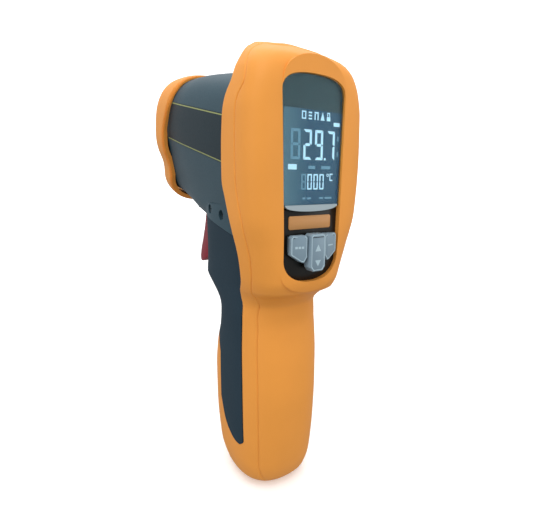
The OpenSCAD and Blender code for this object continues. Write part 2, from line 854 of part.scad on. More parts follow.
glass_y = inner_y + 1.3;
glass_half = [11, 16.6];
glass_z = 140.6;
module slab(y0, y1, half, z, r = 0.4)
    on_face(y0, y1)
        polygon([[-half[0] + r, z - half[1]], [half[0] - r, z - half[1]], [half[0], z - half[1] + r],
            [half[0], z + half[1] - r], [half[0] - r, z + half[1]], [-half[0] + r, z + half[1]],
            [-half[0], z + half[1] - r], [-half[0], z - half[1] + r]]);

module lcd_glass()
    color("#8FA9B4")
        union() {
            slab(glass_y, glass_y + 1.1, glass_half, glass_z);
            slab(glass_y + 1, glass_y + 2, [glass_half[0], glass_half[1] - 2], glass_z + 2);
        }

module lcd_backlight()
    color("#EDF1F2")
        union() {
            slab(glass_y + 2.1, glass_y + 3.6, [glass_half[0] - 0.4, glass_half[1] - 2.4], glass_z + 2);
            for (x = [-7, 7])
                translate([x - 1.5, glass_y + 3.5, glass_z + 10])
                    cube([3, board_y - glass_y - 3.5 - run, 2]);
        }

// Frame that carries the glass on the main board
module lcd_holder()
    color(black)
        union() {
            difference() {
                slab(glass_y + 0.1, glass_y + 4.2, [glass_half[0] + 1.5, glass_half[1] + 1.5], glass_z);
                slab(glass_y - 1, glass_y + 6, [glass_half[0] + 0.15, glass_half[1] + 0.15], glass_z);
            }
            both()
                for (z = [-12, 12])
                    translate([glass_half[0] + 0.2, glass_y + 4.1, glass_z + z - 2])
                        cube([1.2, board_y - glass_y - 4.1 - run, 4]);
        }

module zebra_strip()
    color("#D9A9A0")
        slab(glass_y + 1.15, board_y - run, [glass_half[0] - 1.5, 1.1], glass_z - glass_half[1] + 1.4, 0.2);

module key_panel()
    color("#1A1B17")
        difference() {
            union() {
                on_face(panel_y, panel_back)
                    intersection() {
                        polygon(window_outline(-0.1));
                        translate([-head_r, 0])
                            square([head_w, panel_top]);
                    }
                on_face(inner_y + 0.1, panel_back)
                    intersection() {
                        polygon(window_outline(1.2));
                        translate([-head_r, 0])
                            square([head_w, panel_top]);
                    }
                both()
                    on_side(rocker_lug - 1, rocker_lug)
                        polygon([[panel_back - 0.1, rocker_axis[1] - 2],
                            [panel_back - 0.1, rocker_axis[1] + 2],
                            [rocker_axis[0] + 1.3, rocker_axis[1] + 1.2],
                            [rocker_axis[0] + 1.3, rocker_axis[1] - 1.2]]);
            }
            for (side = [-1, 1])
                on_face(panel_y - 2, panel_back + 0.1)
                    polygon(stem_outline(side, key_gap));
            on_face(panel_y - 2, panel_back + 0.1)
                polygon(rocker_stem(rocker_gap));
            rod_x(-head_r, head_r, rocker_axis, rocker_pin_r + 0.02);
        }

module name_plate()
    color("#B8885A")
        slab(panel_y - 0.3, panel_y - 0.01, [9.4, 2.4], 117.1, 0.5);

module side_key(side)
    color("#748A97")
        union() {
            intersection() {
                on_face(rocker_y, cap_back)
                    polygon(cap_outline(side));
                translate([0, 0, 90])
                    linear_extrude(40)
                        polygon(mirrored(side, [[3, key_inner_y], [5.4, key_inner_y + 0.1],
                            [10.4, key_outer_y], [10.4, cap_back + 1], [3, cap_back + 1]]));
            }
            on_face(cap_back - 0.1, flange_y + 0.8)
                polygon(stem_outline(side, 0));
            on_face(flange_y, flange_y + 0.8)
                polygon(mirrored(side, [[5, 113.2], [10.8, 113.2], [10.8, 106.2], [7, 104], [5, 104]]));
        }
module key_left()
    side_key(-1);
module key_right()
    side_key(1);

module key_rocker()
    color("#6B7075")
        difference() {
            union() {
                on_face(rocker_y, cap_back - 0.3)
                    polygon(rocker_cap);
                on_face(cap_back - 0.4, panel_back + 0.3)
                    polygon(rocker_stem(0));
                on_side(-2.4, 2.4)
                    polygon([[panel_back, rocker_axis[1] - 3], [panel_back, rocker_axis[1] + 3],
                        [rocker_axis[0] + 0.6, rocker_axis[1] + 1.6],
                        [rocker_axis[0] + 1.3, rocker_axis[1]],
                        [rocker_axis[0] + 0.6, rocker_axis[1] - 1.6]]);
            }
            rod_x(-head_r, head_r, rocker_axis, rocker_pin_r + run);
        }

module rocker_pin()
    color(steel)
        rod_x(-rocker_lug, rocker_lug, rocker_axis, rocker_pin_r);

mat_top = 118;
module keypad_mat()
    color("#8C9196")
        difference() {
            on_face(panel_back + run, mat_y + 1.2)
                intersection() {
                    polygon(window_outline(1));
                    translate([-head_r, 0])
                        square([head_w, mat_top]);
                }
            on_face(panel_back - 1, mat_y)
                intersection() {
                    polygon(window_outline(-0.2));
                    translate([-head_r, 0])
                        square([head_w, mat_top - 1.2]);
                }
        }

module key_switches()
    color("#30302E")
        for (spot = [[-7.4, 109], [7.4, 109], [0, 112], [0, 102]])
            union() {
                translate([spot[0] - 2.6, mat_y + 2.6, spot[1] - 2.6])
                    cube([5.2, board_y - mat_y - 2.6 - run, 5.2]);
                rod_y(mat_y + 1.3, mat_y + 2.7, spot, 1.5);
            }

module main_board()
    color(board_green)
        difference() {
            on_face(board_y, board_y + board_t)
                polygon([[-16, 98], [16, 98], [16, 104], [19.6, 106], [19.6, 163], [17.6, 165],
                    [-17.6, 165],
                    [-19.6, 163], [-19.6, 106], [-16, 104]]);
            both()
                for (s = board_spots)
                    rod_y(board_y - 1, board_y + 4, s, 1.3);
        }

back_y = board_y + board_t + run;
module board_chips()
    color("#252525")
        union() {
            for (c = [[-6, 128, 10, 10, 1.6], [8, 134, 6, 5, 1.2], [8, 122, 5, 4, 1.4],
                [-12, 142, 4, 8, 1.8],
                [8, 115, 7, 4, 1.6]])
                translate([c[0] - c[2] / 2, back_y, c[1] - c[3] / 2])
                    cube([c[2], c[4], c[3]]);
            for (s = [[-10, 112], [-3.5, 112]])
                rod_y(back_y, back_y + 4.6, s, 2.4);
        }

module buzzer()
    color(black)
        difference() {
            rod_y(back_y, back_y + 4.6, [9, 153], 5);
            rod_y(back_y + 2, back_y + 9, [9, 153], 1);
        }

module board_screws()
    color(steel)
        both()
            for (s = board_spots)
                difference() {
                    union() {
                        rod_y(inner_y + 2.2, back_y + 0.5, s, board_screw_r);
                        rod_y(back_y, back_y + 1.3, s, 2);
                    }
                    translate([s[0] - 1.2, back_y + 1, s[1] - 0.3])
                        cube([2.4, 2, 0.6]);
                    translate([s[0] - 0.3, back_y + 1, s[1] - 1.2])
                        cube([0.6, 2, 2.4]);
                }

module case_screws()
    color(steel)
        for (s = case_spots)
            difference() {
                union() {
                    rod_x(head_x, 7.6, s, screw_r);
                    rod_x(head_x - 1.5, head_x, s, head_r2 - 0.1);
                }
                translate([head_x - 2, s[0] - 1.3, s[1] - 0.3])
                    cube([1.4, 2.6, 0.6]);
                translate([head_x - 2, s[0] - 0.3, s[1] - 1.3])
                    cube([1.4, 0.6, 2.6]);
            }

module trigger()
    color(crimson)
        difference() {
            union() {
                on_side(-trigger_w / 2, trigger_w / 2)
                    polygon([[48.4, 116.8], [49.6, 115.8], [50.5, 113.6], [51.6, 110], [53, 106],
                        [54.8, 101.4],
                        [57, 97], [58.2, 94], [58.9, 91.2], [58.8, 89.6], [57.8, 88.7],
                        [56, 88.8], [53.4, 90],
                        [49.6, 92.2], [46, 95], [42.6, 99], [40, 103.4], [38.4, 107.6], [38, 112],
                        [39.4, 116]]);
                rod_x(-trigger_w / 2, trigger_w / 2, pivot, hub_r);
                on_side(-trigger_w / 2, trigger_w / 2)
                    polygon([[39.8, 115], [48.4, 115], [pivot[0] + hub_r * 0.94, pivot[1]],
                        [pivot[0] - hub_r * 0.94, pivot[1]]]);
            }
            rod_x(-trigger_w, trigger_w, pivot, trigger_pin_r + run);
            on_side(-trigger_w / 2 + 1.8, trigger_w / 2 - 1.8)
                polygon([[56, 88], [45, 94], [40.8, 101], [38, 108], [37, 113], [42, 113.6],
                    [47.6, 104], [52, 98],
                    [56.6, 92]]);
        }
hub_r = 3.1;

module trigger_pin()
    color(steel)
        rod_x(-11.6, 11.6, pivot, trigger_pin_r);

// Torsion spring on the pivot pin beside the trigger
coil_r = 1.95;
wire_r = 0.35;
coil_turns = 2.5;
coil_x = 6.35;
coil_pitch = 0.66;
module trigger_spring()
    color(steel)
        union() {
            for (i = [0:coil_turns * 10 - 1])
                hull()
                    for (j = [i, i + 1])
                        let (a = j * 36)
                        translate([coil_x + j / 10 * coil_pitch, pivot[0] + coil_r * cos(a),
                            pivot[1] + coil_r * sin(a)])
                            sphere(wire_r, $fn = 6);
            hull() {
                translate([coil_x, pivot[0] + coil_r, pivot[1]])
                    sphere(wire_r, $fn = 6);
                translate([coil_x, pivot[0] + coil_r + 0.6, pivot[1] + 9])
                    sphere(wire_r, $fn = 6);
            }
            hull() {
                translate([coil_x + coil_turns * coil_pitch, pivot[0] - coil_r, pivot[1]])
                    sphere(wire_r, $fn = 6);
                translate([coil_x + coil_turns * coil_pitch, pivot[0] - coil_r - 7, pivot[1] + 5])
                    sphere(wire_r, $fn = 6);
            }
        }

switch_spot = [27.6, 108];
switch_r = 3.2;
module trigger_switch()
    color("#20242A")
        union() {
            translate([-switch_r, switch_spot[0] - 4, switch_spot[1] - 4])
                cube([2 * switch_r, 6, 8]);
            rod_y(switch_spot[0] + 1.9, switch_spot[0] + 3.4, [0, switch_spot[1] - 1], 1);
            for (z = [-3, 0, 3])
                translate([-0.5, switch_spot[0] - 6.6, switch_spot[1] + z - 0.2])
                    cube([1, 2.7, 0.4]);
        }

battery_y = -3;
battery_z = 17;
battery_top = battery_z + battery_h;
battery_mid = battery_y + battery_d / 2;
module battery_box(z0, z1, inset)
    translate([0, battery_mid, z0])
        linear_extrude(z1 - z0)
            polygon(oval(battery_w / 2 - inset, -battery_d / 2 + inset, battery_d / 2 - inset, 14, 48));

module battery()
    color("#8A8F94")
        union() {
            battery_box(battery_z, battery_top - 1.4, 0);
            battery_box(battery_top - 1.5, battery_top, 0.5);
            translate([-6.35, battery_mid, battery_top - 0.1])
                cylinder(2.5, 2.9, 2.9);
            translate([6.35, battery_mid, battery_top - 0.1])
                cylinder(2.5, 3.6, 3.6, $fn = 6);
        }

module battery_snap()
    color(black)
        union() {
            battery_box(battery_top + 2.5, battery_top + 4, 1);
            for (x = [-6.35, 6.35])
                translate([x, battery_mid, battery_top + 3.9])
                    cylinder(1, 3, 3);
        }

module battery_tray()
    color(black)
        difference() {
            translate([-14.5, battery_y - 1.7, battery_z - 2])
                cube([29, 15, 49]);
            translate([-13.4, battery_y - 0.3, battery_z - 0.4])
                cube([26.8, 30, 60]);
            translate([-7, battery_y - 5, battery_z + 6])
                cube([14, 10, 22]);
        }

// Curved leads from the battery snap up to the main board
function lead_path(side) = [[4 * side, battery_mid, battery_top + 5.7], [4 * side, battery_mid, 73],
    [4 * side, battery_mid - 1, 77], [4.4 * side, 2, 82], [5 * side, -3, 87], [5.6 * side, -8, 92],
    [6 * side, -12, 96], [6 * side, -15, 99.4], [6 * side, back_y + 0.6, 101]];
module lead(side)
    for (i = [0:len(lead_path(side)) - 2])
        hull()
            for (j = [i, i + 1])
                translate(lead_path(side)[j])
                    sphere(0.7, $fn = 8);
module lead_red()
    color("#A32424")
        lead(-1);
module lead_black()
    color("#191919")
        lead(1);

rear_cover();
body_band();
housing_left();
housing_right();
grip_pad_left();
grip_pad_right();
nose_bezel();
aperture_plate();
battery_door();
hinge_bracket();
door_knuckles();
door_hinge_pin();
door_latch();
tripod_insert();
display_lens();
lcd_holder();
lcd_glass();
lcd_backlight();
zebra_strip();
key_panel();
name_plate();
key_left();
key_right();
key_rocker();
rocker_pin();
keypad_mat();
key_switches();
main_board();
board_chips();
buzzer();
trigger();
trigger_pin();
trigger_spring();
trigger_switch();
optic_tube();
ir_lens();
lens_ring();
sensor_can();
sensor_board();
ribbon_cable();
laser_modules();
laser_windows();
battery_tray();
battery();
battery_snap();
lead_red();
lead_black();
case_screws();
board_screws();
side_label();
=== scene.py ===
import json
import math

import bmesh
import bpy
import numpy as np
from mathutils import Matrix, Vector


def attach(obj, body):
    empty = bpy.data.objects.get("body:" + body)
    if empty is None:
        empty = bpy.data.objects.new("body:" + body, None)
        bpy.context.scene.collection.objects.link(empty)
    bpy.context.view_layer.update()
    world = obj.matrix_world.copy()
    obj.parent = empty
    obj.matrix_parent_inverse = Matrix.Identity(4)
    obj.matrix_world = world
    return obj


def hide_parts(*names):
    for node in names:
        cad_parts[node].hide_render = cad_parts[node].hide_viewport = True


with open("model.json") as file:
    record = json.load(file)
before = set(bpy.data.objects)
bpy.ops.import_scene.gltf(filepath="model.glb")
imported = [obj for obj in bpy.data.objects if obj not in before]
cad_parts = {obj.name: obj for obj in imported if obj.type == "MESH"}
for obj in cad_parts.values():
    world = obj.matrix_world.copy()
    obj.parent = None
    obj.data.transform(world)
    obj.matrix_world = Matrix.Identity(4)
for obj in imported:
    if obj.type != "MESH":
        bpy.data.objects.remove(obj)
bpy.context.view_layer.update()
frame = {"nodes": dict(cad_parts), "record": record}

# ---------------------------------------------------------------- measures, in millimetres
# The frame is the CAD's: +Z up along the grip, +Y forward to the nose, +X to the user's right.
# u runs along the sight line and v across it, and both tilt with the barrel by PITCH.
# Most measures are the CAD's. The crown, the brow and the head's low rear corners differ a little.
MM = 0.001
FAR, OVER, ASIDE = 120.0, 240.0, 60.0      # past the part, above it and beside it
HEAD_R, GRIP_R = 25.0, 18.5                # half widths
FACE_Y = -31.4                             # plane round the display
CROWN_Z, BROW_Z = 183.5, 172.6
FRONT, BACK = 27.0, 23.0                   # how far the grip swells to the front and to the back
PITCH = math.radians(12.8)
BARREL_R, SIGHT_V = 22.0, 144.0
NOSE0, NOSE1 = 86.0, 111.5                 # ends of the nose hood along u
BARREL0, BARREL1, CORE1 = 4, NOSE0 + 12, NOSE0 + 14
BARREL_MID, NOSE_MID = SIGHT_V - 10, SIGHT_V - 18.5   # centres of their rings
NOSE_WALL = 2.4
WALL, PAD_T = 2.2, 1.1
SEAM, RUN = 0.16, 0.05                     # gap at a parting line, and between parts that fit
WIN_R, WIN_TOP, WIN_LOW, LENS_LOW = 12.4, 166.6, 95.6, 122.8
LENS_Y, PANEL_Y, INNER_Y = FACE_Y + 0.9, FACE_Y + 1.9, FACE_Y + WALL
FILM_Y = LENS_Y + 0.9
ROCKER_Y = PANEL_Y - 5.3
KEY_IN_Y, KEY_OUT_Y = ROCKER_Y + 1.1, ROCKER_Y + 2.5
DOOR_EDGE, DOOR_HIGH = 9.2, 67.0
HINGE = (9.3, 2.2)                         # y and z of the door's hinge
HINGE_R, HINGE_ROOM_R, KNUCKLE_R = 2.6, 3.0, 2.65
INSERT_R, INSERT_H, BOSS_T = 4.2, 8.6, 2   # tripod insert and the boss round it
PAD_FOOT, PAD_TOP = 22, 107                # ends of the pad's rear edge
FRONT_TOP = 122.0                          # top of the part under the barrel
TRIGGER_PIN, PIN_R, PIN_HALF = (44, 119.6), 1.27, 12
HUB_R, HUB_HALF = 3.6, 8.6                 # room for the trigger's hub
SCREWS, SCREW_R, SCREW_X = ((19.5, 119.4), (7.5, 117.6)), 2.1, 14.6
SLOT_R = 6.0                               # half width of the trigger's slot, then its y and z
SLOT = [(29, 88.6), (FAR, 88.6), (FAR, 112), (53.8, 116), (53.8, 122), (33, 122), (29, 108)]
LABEL_LOW, LABEL_HIGH = SIGHT_V - 8.8, SIGHT_V + 8.8
LABEL_X, LABEL_REAR, LABEL_T = 14, -7, 0.24   # least x, least y and depth of the side panels
LINE_V, LINE_HALF, LINE_PROUD, LINE_DEEP = 8.3, 0.22, 0.04, 0.1   # thin lines along them
CAVITY_Y = -17.4                           # the hollow of the rear shells ends here at the crown
BAND_LIP, EDGE_LIP = 1.4, 1.9              # how far the hollows stay behind the edge
WINDOW_SEAT = 1.5                          # ledge round the window, for the display's flange
LINE_TOP = 188                             # parting lines run past the crown

# Outer form of the head and grip, by height: half width, back y, front y, squareness
BODY_ROWS = [
    [0, GRIP_R - 9, 12.5 - BACK, FRONT - 17, 2.2],
    [2, GRIP_R - 5, 8.6 - BACK, FRONT - 12.5, 2.4],
    [6, GRIP_R - 2, 5.2 - BACK, FRONT - 8.5, 2.5],
    [14, GRIP_R - 0.5, 3 - BACK, FRONT - 4, 2.6],
    [32, GRIP_R, 0.8 - BACK, FRONT - 0.5, 2.6],
    [47, GRIP_R, -BACK, FRONT, 2.6],
    [60, GRIP_R, 0.4 - BACK, FRONT - 2.5, 2.6],
    [70, GRIP_R - 0.2, 1.5 - BACK, FRONT - 6.5, 2.6],
    [77, GRIP_R - 0.3, 2.4 - BACK, FRONT - 7.5, 2.6],
    [83, GRIP_R - 0.2, 2 - BACK, FRONT - 1, 2.6],
    [88, GRIP_R + 0.4, FACE_Y + 6, FRONT + 6, 2.9],
    [91, GRIP_R + 1.4, FACE_Y + 1.6, FRONT + 7, 3.4],
    [96, GRIP_R + 3, FACE_Y, FRONT + 5, 3.5],
    [108, HEAD_R - 1.4, FACE_Y, FRONT + 3, 4.6],
    [120, HEAD_R, FACE_Y, FRONT, 6.8],
    [139, HEAD_R + 0.3, FACE_Y, FRONT - 5, 8],
    [155, HEAD_R + 0.1, FACE_Y, FRONT - 8, 7.5],
    [162, HEAD_R - 0.8, FACE_Y + 0.1, FRONT - 14, 6.5],
    [168, HEAD_R - 2.2, FACE_Y + 0.8, FRONT - 22, 5],
    [172, HEAD_R - 4.2, FACE_Y + 2.6, FRONT - 27.8, 3.9],
    [176, HEAD_R - 7, FACE_Y + 8.6, FRONT - 30.6, 3.1],
    [179.4, HEAD_R - 10.8, FACE_Y + 15, FRONT - 31, 2.7],
    [CROWN_Z - 1.2, HEAD_R - 14.8, FACE_Y + 20.2, FRONT - 31, 2.4],
    [CROWN_Z, HEAD_R - 19.5, FACE_Y + 23.4, FRONT - 31.6, 2.2],
]
# Narrower form that carries the grip pads, the battery door and the core under the barrel
FRONT_ROWS = BODY_ROWS[:9] + [
    [80, GRIP_R - 0.5, 2 - BACK, FRONT - 6, 2.6],
    [83.4, GRIP_R - 0.9, 2 - BACK, FRONT - 1, 2.7],
    [86.6, GRIP_R - 1.2, 2 - BACK, FRONT + 5.5, 2.8],
    [89.7, GRIP_R - 1.4, 2 - BACK, FRONT + 10.5, 2.9],
    [96, GRIP_R - 1.4, 2 - BACK, FRONT + 9, 3],
    [111, GRIP_R - 1.2, 2 - BACK, FRONT + 8.5, 3],
    [124, GRIP_R - 1, 2 - BACK, FRONT + 8.5, 3],
]
# How far an inner face shifts in height, as a part of its inset
SHIFT_ROWS = [
    [0, -1], [10, 0], [82, 0], [88, -1], [98, -1], [106, 0], [160, 0], [167, 1], [190, 1],
]
# Parting lines on the side of the body, as z and y: the groove, and the edge towards the slate
GROOVE_ROWS = [
    [0, -14.6], [12, -15.3], [27, -16.3], [48, -16.7], [70, -16.2], [80, -15.8], [89, -18.2],
    [97, -21.7], [106, -23.4], [115, -23.5], [125, -21.7], [130, -20.6], [142, -20.4],
    [154, -20.5], [158.5, -21.6], [163, -24.6], [167, -23.9], [171, -22.4], [187, -17],
]
EDGE_ROWS = [
    [15, -9], [86, -9.2], [96, -15], [105, -16.4], [115, -14.9], [125, -11.6], [132, -9.3],
    [142, -9.4], [153, -10.2], [160, -11.6], [166, -15.2], [173, -15.6], [187, -16.4],
]
# Barrel and nose hood, by u: half width, low v, high v and squareness of the upper lobe,
# then half width, low v and high v of the lower lobe
BARREL_ROWS = [
    [0, BARREL_R, -21, 25.8, 3, BARREL_R - 5, -41, -12],
    [30, BARREL_R, -21, 25, 3, BARREL_R - 5, -41.6, -12],
    [56, BARREL_R, -21, 23.8, 3, BARREL_R - 5.5, -42.5, -12],
    [NOSE0 - 17, BARREL_R, -21, 23, 2.9, BARREL_R - 6, -42, -12],
    [NOSE0 - 11, BARREL_R - 0.1, -21, 22.4, 2.8, BARREL_R - 6.4, -41.2, -12],
    [NOSE0 - 4, BARREL_R - 0.4, -21, 21.8, 2.7, BARREL_R - 6.6, -40.2, -12],
    [NOSE0 + 6, BARREL_R - 0.8, -20.8, 20.4, 2.6, BARREL_R - 7, -39.4, -12],
    [NOSE0 + 12, BARREL_R - 0.9, -20.8, 19.8, 2.6, BARREL_R - 7, -39.2, -12],
]
NOSE_ROWS = [
    [NOSE0, BARREL_R + 0.7, -24.6, 22.2, 2.8, BARREL_R - 5, -41, -12],
    [NOSE0 + 3, BARREL_R + 1.4, -26.6, 22.4, 2.8, BARREL_R - 4.2, -42, -12],
    [NOSE0 + 16, BARREL_R + 1.2, -27.8, 21.1, 2.8, BARREL_R - 4.4, -42.8, -12],
    [NOSE1 - 3.5, BARREL_R + 0.2, -27.2, 19.6, 2.7, BARREL_R - 5.2, -42.4, -13],
    [NOSE1, BARREL_R - 1.6, -25.6, 17.4, 2.6, BARREL_R - 6.8, -40.8, -14],
]
LOWER_SQUARE = 2.2
# Rear edge of the nose hood, from NOSE0 and SIGHT_V, and the steps that round it: inset, run
BEZEL_BACK = [
    (-2, 40), (-0.2, 15), (1.6, 8), (3.5, 2), (6.4, -5), (7.4, -12), (8.6, -28), (12, -40),
    (13, -46),
]
BEZEL_STEPS = [(0.75, 0.2), (0.5, 0.5), (0.3, 0.9), (0.16, 1.4), (0.06, 2.0)]


# ---------------------------------------------------------------- curves
def along(rows, t, k=1):
    """Smooth curve through column k of the rows, with no overshoot."""
    i = 0
    while i < len(rows) - 2 and t >= rows[i + 1][0]:
        i += 1

    def grade(j):
        return (rows[j + 1][k] - rows[j][k]) / (rows[j + 1][0] - rows[j][0])

    def tangent(j):
        if j == 0 or j == len(rows) - 1:
            return grade(min(j, len(rows) - 2))
        a, b = grade(j - 1), grade(j)
        return 0 if a * b <= 0 else 2 * a * b / (a + b)

    h = rows[i + 1][0] - rows[i][0]
    s = min(1, max(0, (t - rows[i][0]) / h))
    a, b, ma, mb = rows[i][k], rows[i + 1][k], tangent(i) * h, tangent(i + 1) * h
    return a + s * ma + s * s * (3 * (b - a) - 2 * ma - mb) + s ** 3 * (2 * (a - b) + ma + mb)


def bulge(c, n):
    """Sine or cosine of a superellipse of squareness n."""
    return np.sign(c) * np.abs(c) ** (2 / n)


def oval(half, low, high, n, angles):
    mid, deep = (low + high) / 2, (high - low) / 2
    return np.stack([half * bulge(np.cos(angles), n), mid + deep * bulge(np.sin(angles), n)], 1)


def even(count):
    return 2 * math.pi * (np.arange(count) + 0.5) / count


def rays(angles):
    return np.stack([np.cos(angles), np.sin(angles)], 1)


def levels_of(rows, step, first, last):
    """Places for a smooth loft: every row's own place, with even steps between."""
    marks_and_highlight = sorted({first, last, *[r[0] for r in rows if first < r[0] < last]})
    out = []
    for a, b in zip(marks_and_highlight, marks_and_highlight[1:]):
        m = max(1, round((b - a) / step))
        out += [a + (b - a) * i / m for i in range(m)]
    return out + [last]


def side_line(rows, first, last):
    """Points (y, z) of a parting line, a millimetre of height apart."""
    return [(along(rows, z), z) for z in np.arange(first, last, 1.0)]


def moved(points, dy, dz=0):
    return [(y + dy, z + dz) for y, z in points]


# ---------------------------------------------------------------- meshes
def mesh_object(name, points, faces):
    mesh = bpy.data.meshes.new(name)
    mesh.from_pydata([tuple(p) for p in np.asarray(points) * MM], [], faces)
    bm = bmesh.new()
    bm.from_mesh(mesh)
    bmesh.ops.recalc_face_normals(bm, faces=bm.faces)
    bm.to_mesh(mesh)
    bm.free()
    o = bpy.data.objects.new(name, mesh)
    bpy.context.scene.collection.objects.link(o)
    return o


def tube_faces(n, m):
    """Faces between m rings of n points each."""
    return [[i * n + j, i * n + (j + 1) % n, (i + 1) * n + (j + 1) % n, (i + 1) * n + j]
            for i in range(m - 1) for j in range(n)]


def loft(name, rings):
    n, m = len(rings[0]), len(rings)
    ends = [list(range(n))[::-1], [(m - 1) * n + j for j in range(n)]]
    return mesh_object(name, np.concatenate(rings), tube_faces(n, m) + ends)


def prism(name, outline, low, high, place):
    """Solid between two planes over a flat outline; place turns (a, b, h) into a point."""
    return loft(name, [np.array([place(a, b, h) for a, b in outline]) for h in (low, high)])


def prism_x(name, outline, x0, x1):
    return prism(name, outline, x0, x1, lambda a, b, h: (h, a, b))


def prism_y(name, outline, y0, y1):
    return prism(name, outline, y0, y1, lambda a, b, h: (a, h, b))


def prism_z(name, outline, z0, z1):
    return prism(name, outline, z0, z1, lambda a, b, h: (a, b, h))


def side_prism(name, outline):
    return prism_x(name, outline, -ASIDE, ASIDE)


def circle(centre, r, count=48):
    turns = [2 * math.pi * i / count for i in range(count)]
    return [(centre[0] + r * math.cos(a), centre[1] + r * math.sin(a)) for a in turns]


def rod_x(name, x0, x1, spot, r):
    return prism_x(name, circle(spot, r), x0, x1)


def bar(x0, x1, z0, z1):
    return [(x0, z0), (x1, z0), (x1, z1), (x0, z1)]


def box(name, low, high):
    return prism_z(name, bar(low[0], high[0], low[1], high[1]), low[2], high[2])


def slice_x(name, x0, x1):
    """Block between two values of x, past the part in every other direction."""
    return box(name, (x0, -FAR, -FAR), (x1, FAR * 2, FAR * 3))


def carve(target, cutter, how, keep=False):
    m = target.modifiers.new("carve", "BOOLEAN")
    m.operation, m.object, m.solver = how, cutter, "MANIFOLD"
    bpy.context.view_layer.update()
    made = bpy.data.meshes.new_from_object(
        target.evaluated_get(bpy.context.evaluated_depsgraph_get()))
    target.modifiers.clear()
    old, target.data = target.data, made
    bpy.data.meshes.remove(old)
    if not keep:
        bpy.data.objects.remove(cutter)
    return target


def minus(a, b, keep=False):
    return carve(a, b, "DIFFERENCE", keep)


def plus(a, b):
    return carve(a, b, "UNION")


def common(a, b):
    return carve(a, b, "INTERSECT")


def twin(o, name):
    c = bpy.data.objects.new(name, o.data.copy())
    bpy.context.scene.collection.objects.link(c)
    return c


# ---------------------------------------------------------------- the outer forms
# Where the body's rings have points, from each parting line
GROOVE_STEPS = [-0.9, -0.55, -0.34, -0.2, -0.09, 0, 0.09, 0.2, 0.34, 0.55, 0.9]
EDGE_STEPS = [-1.5, -1.0, -0.7, -0.45, -0.25, -0.1, 0, 0.3]
GROOVE_DEEP, GROOVE_HALF, GROOVE_SHAPE = 0.36, 0.28, 1.6
EDGE_R, EDGE_GAP = 1.1, 2.6                # rounding of the edge, and its least way from the groove
REAR_COUNT, MID_COUNT, FRONT_COUNT = 30, 6, 34
DIP_Y = 0.6                                # part of a dip that goes into y


def groove_dip(d):
    return GROOVE_DEEP * math.exp(-((abs(d) / GROOVE_HALF) ** GROOVE_SHAPE))


def edge_dip(d):
    r = EDGE_R
    return 0 if d < -r else r - math.sqrt(max(0, r * r - (min(d, 0) + r) ** 2))


def body_ring(z, inset):
    """Ring of the body at one height, with the groove and the rounded edge pressed into it."""
    h = z + inset * along(SHIFT_ROWS, z)
    half, low, high, n = (along(BODY_ROWS, h, k) for k in (1, 2, 3, 4))
    half, low, high = half - inset, low + inset, high - inset
    mid, deep = (low + high) / 2, (high - low) / 2

    def angle_of(y):
        s = (y - mid) / deep
        return math.asin(max(-1, min(1, math.copysign(abs(s) ** (n / 2), s))))

    groove = along(GROOVE_ROWS, z)
    rim = max(along(EDGE_ROWS, z), groove + EDGE_GAP)
    stops = [(angle_of(groove + d), groove_dip(d)) for d in GROOVE_STEPS]
    edge = [(angle_of(rim + d), edge_dip(d) if z > PAD_FOOT else 0) for d in EDGE_STEPS]
    a0, a1, a2, quarter = stops[0][0], stops[-1][0], edge[0][0], math.pi / 2
    right = [(-quarter + (a0 + quarter) * (i + 0.5) / REAR_COUNT, 0) for i in range(REAR_COUNT)]
    right += stops
    right += [(a1 + (a2 - a1) * (i + 1) / (MID_COUNT + 1), 0) for i in range(MID_COUNT)]
    right += edge
    a3 = edge[-1][0]
    right += [(a3 + (quarter - a3) * (i + 0.5) / FRONT_COUNT, 0) for i in range(FRONT_COUNT)]
    pts = [((half - dip) * bulge(math.cos(a), n),
            mid + (deep - dip * DIP_Y) * bulge(math.sin(a), n), z) for a, dip in right]
    return np.array(pts + [(-x, y, z) for x, y, z in reversed(pts)])


def body_solid(name, inset, step=1.5):
    heights = levels_of(BODY_ROWS, step, inset, CROWN_Z - inset)
    if inset == 0:
        heights = sorted(set(heights + [0.3, 0.8, CROWN_Z - 0.6, CROWN_Z - 0.3]))
    return loft(name, [body_ring(z, inset) for z in heights])


def front_solid(name, inset, low=None, high=FRONT_TOP, step=1.5):
    low = max(0, inset) if low is None else low
    rings = []
    for z in levels_of(FRONT_ROWS, step, low, high):
        h = z + inset * min(0, along(SHIFT_ROWS, z))
        half, back, front, n = (along(FRONT_ROWS, h, k) for k in (1, 2, 3, 4))
        p = oval(half - inset, back + inset, front - inset, n, even(180))
        rings.append(np.column_stack([p, np.full(len(p), z)]))
    return loft(name, rings)


def sight(x, u, v):
    """Point of the tilted barrel frame, in the frame of the part."""
    return (x, u * math.cos(PITCH) - v * math.sin(PITCH),
            u * math.sin(PITCH) + v * math.cos(PITCH))


def lobe(rows, u, inset, upper, count):
    first = 1 if upper else 5
    half, low, high = (along(rows, u, first + k) for k in range(3))
    n = along(rows, u, 4) if upper else LOWER_SQUARE
    return oval(half - inset, SIGHT_V + low + inset, SIGHT_V + high - inset, n, even(count))


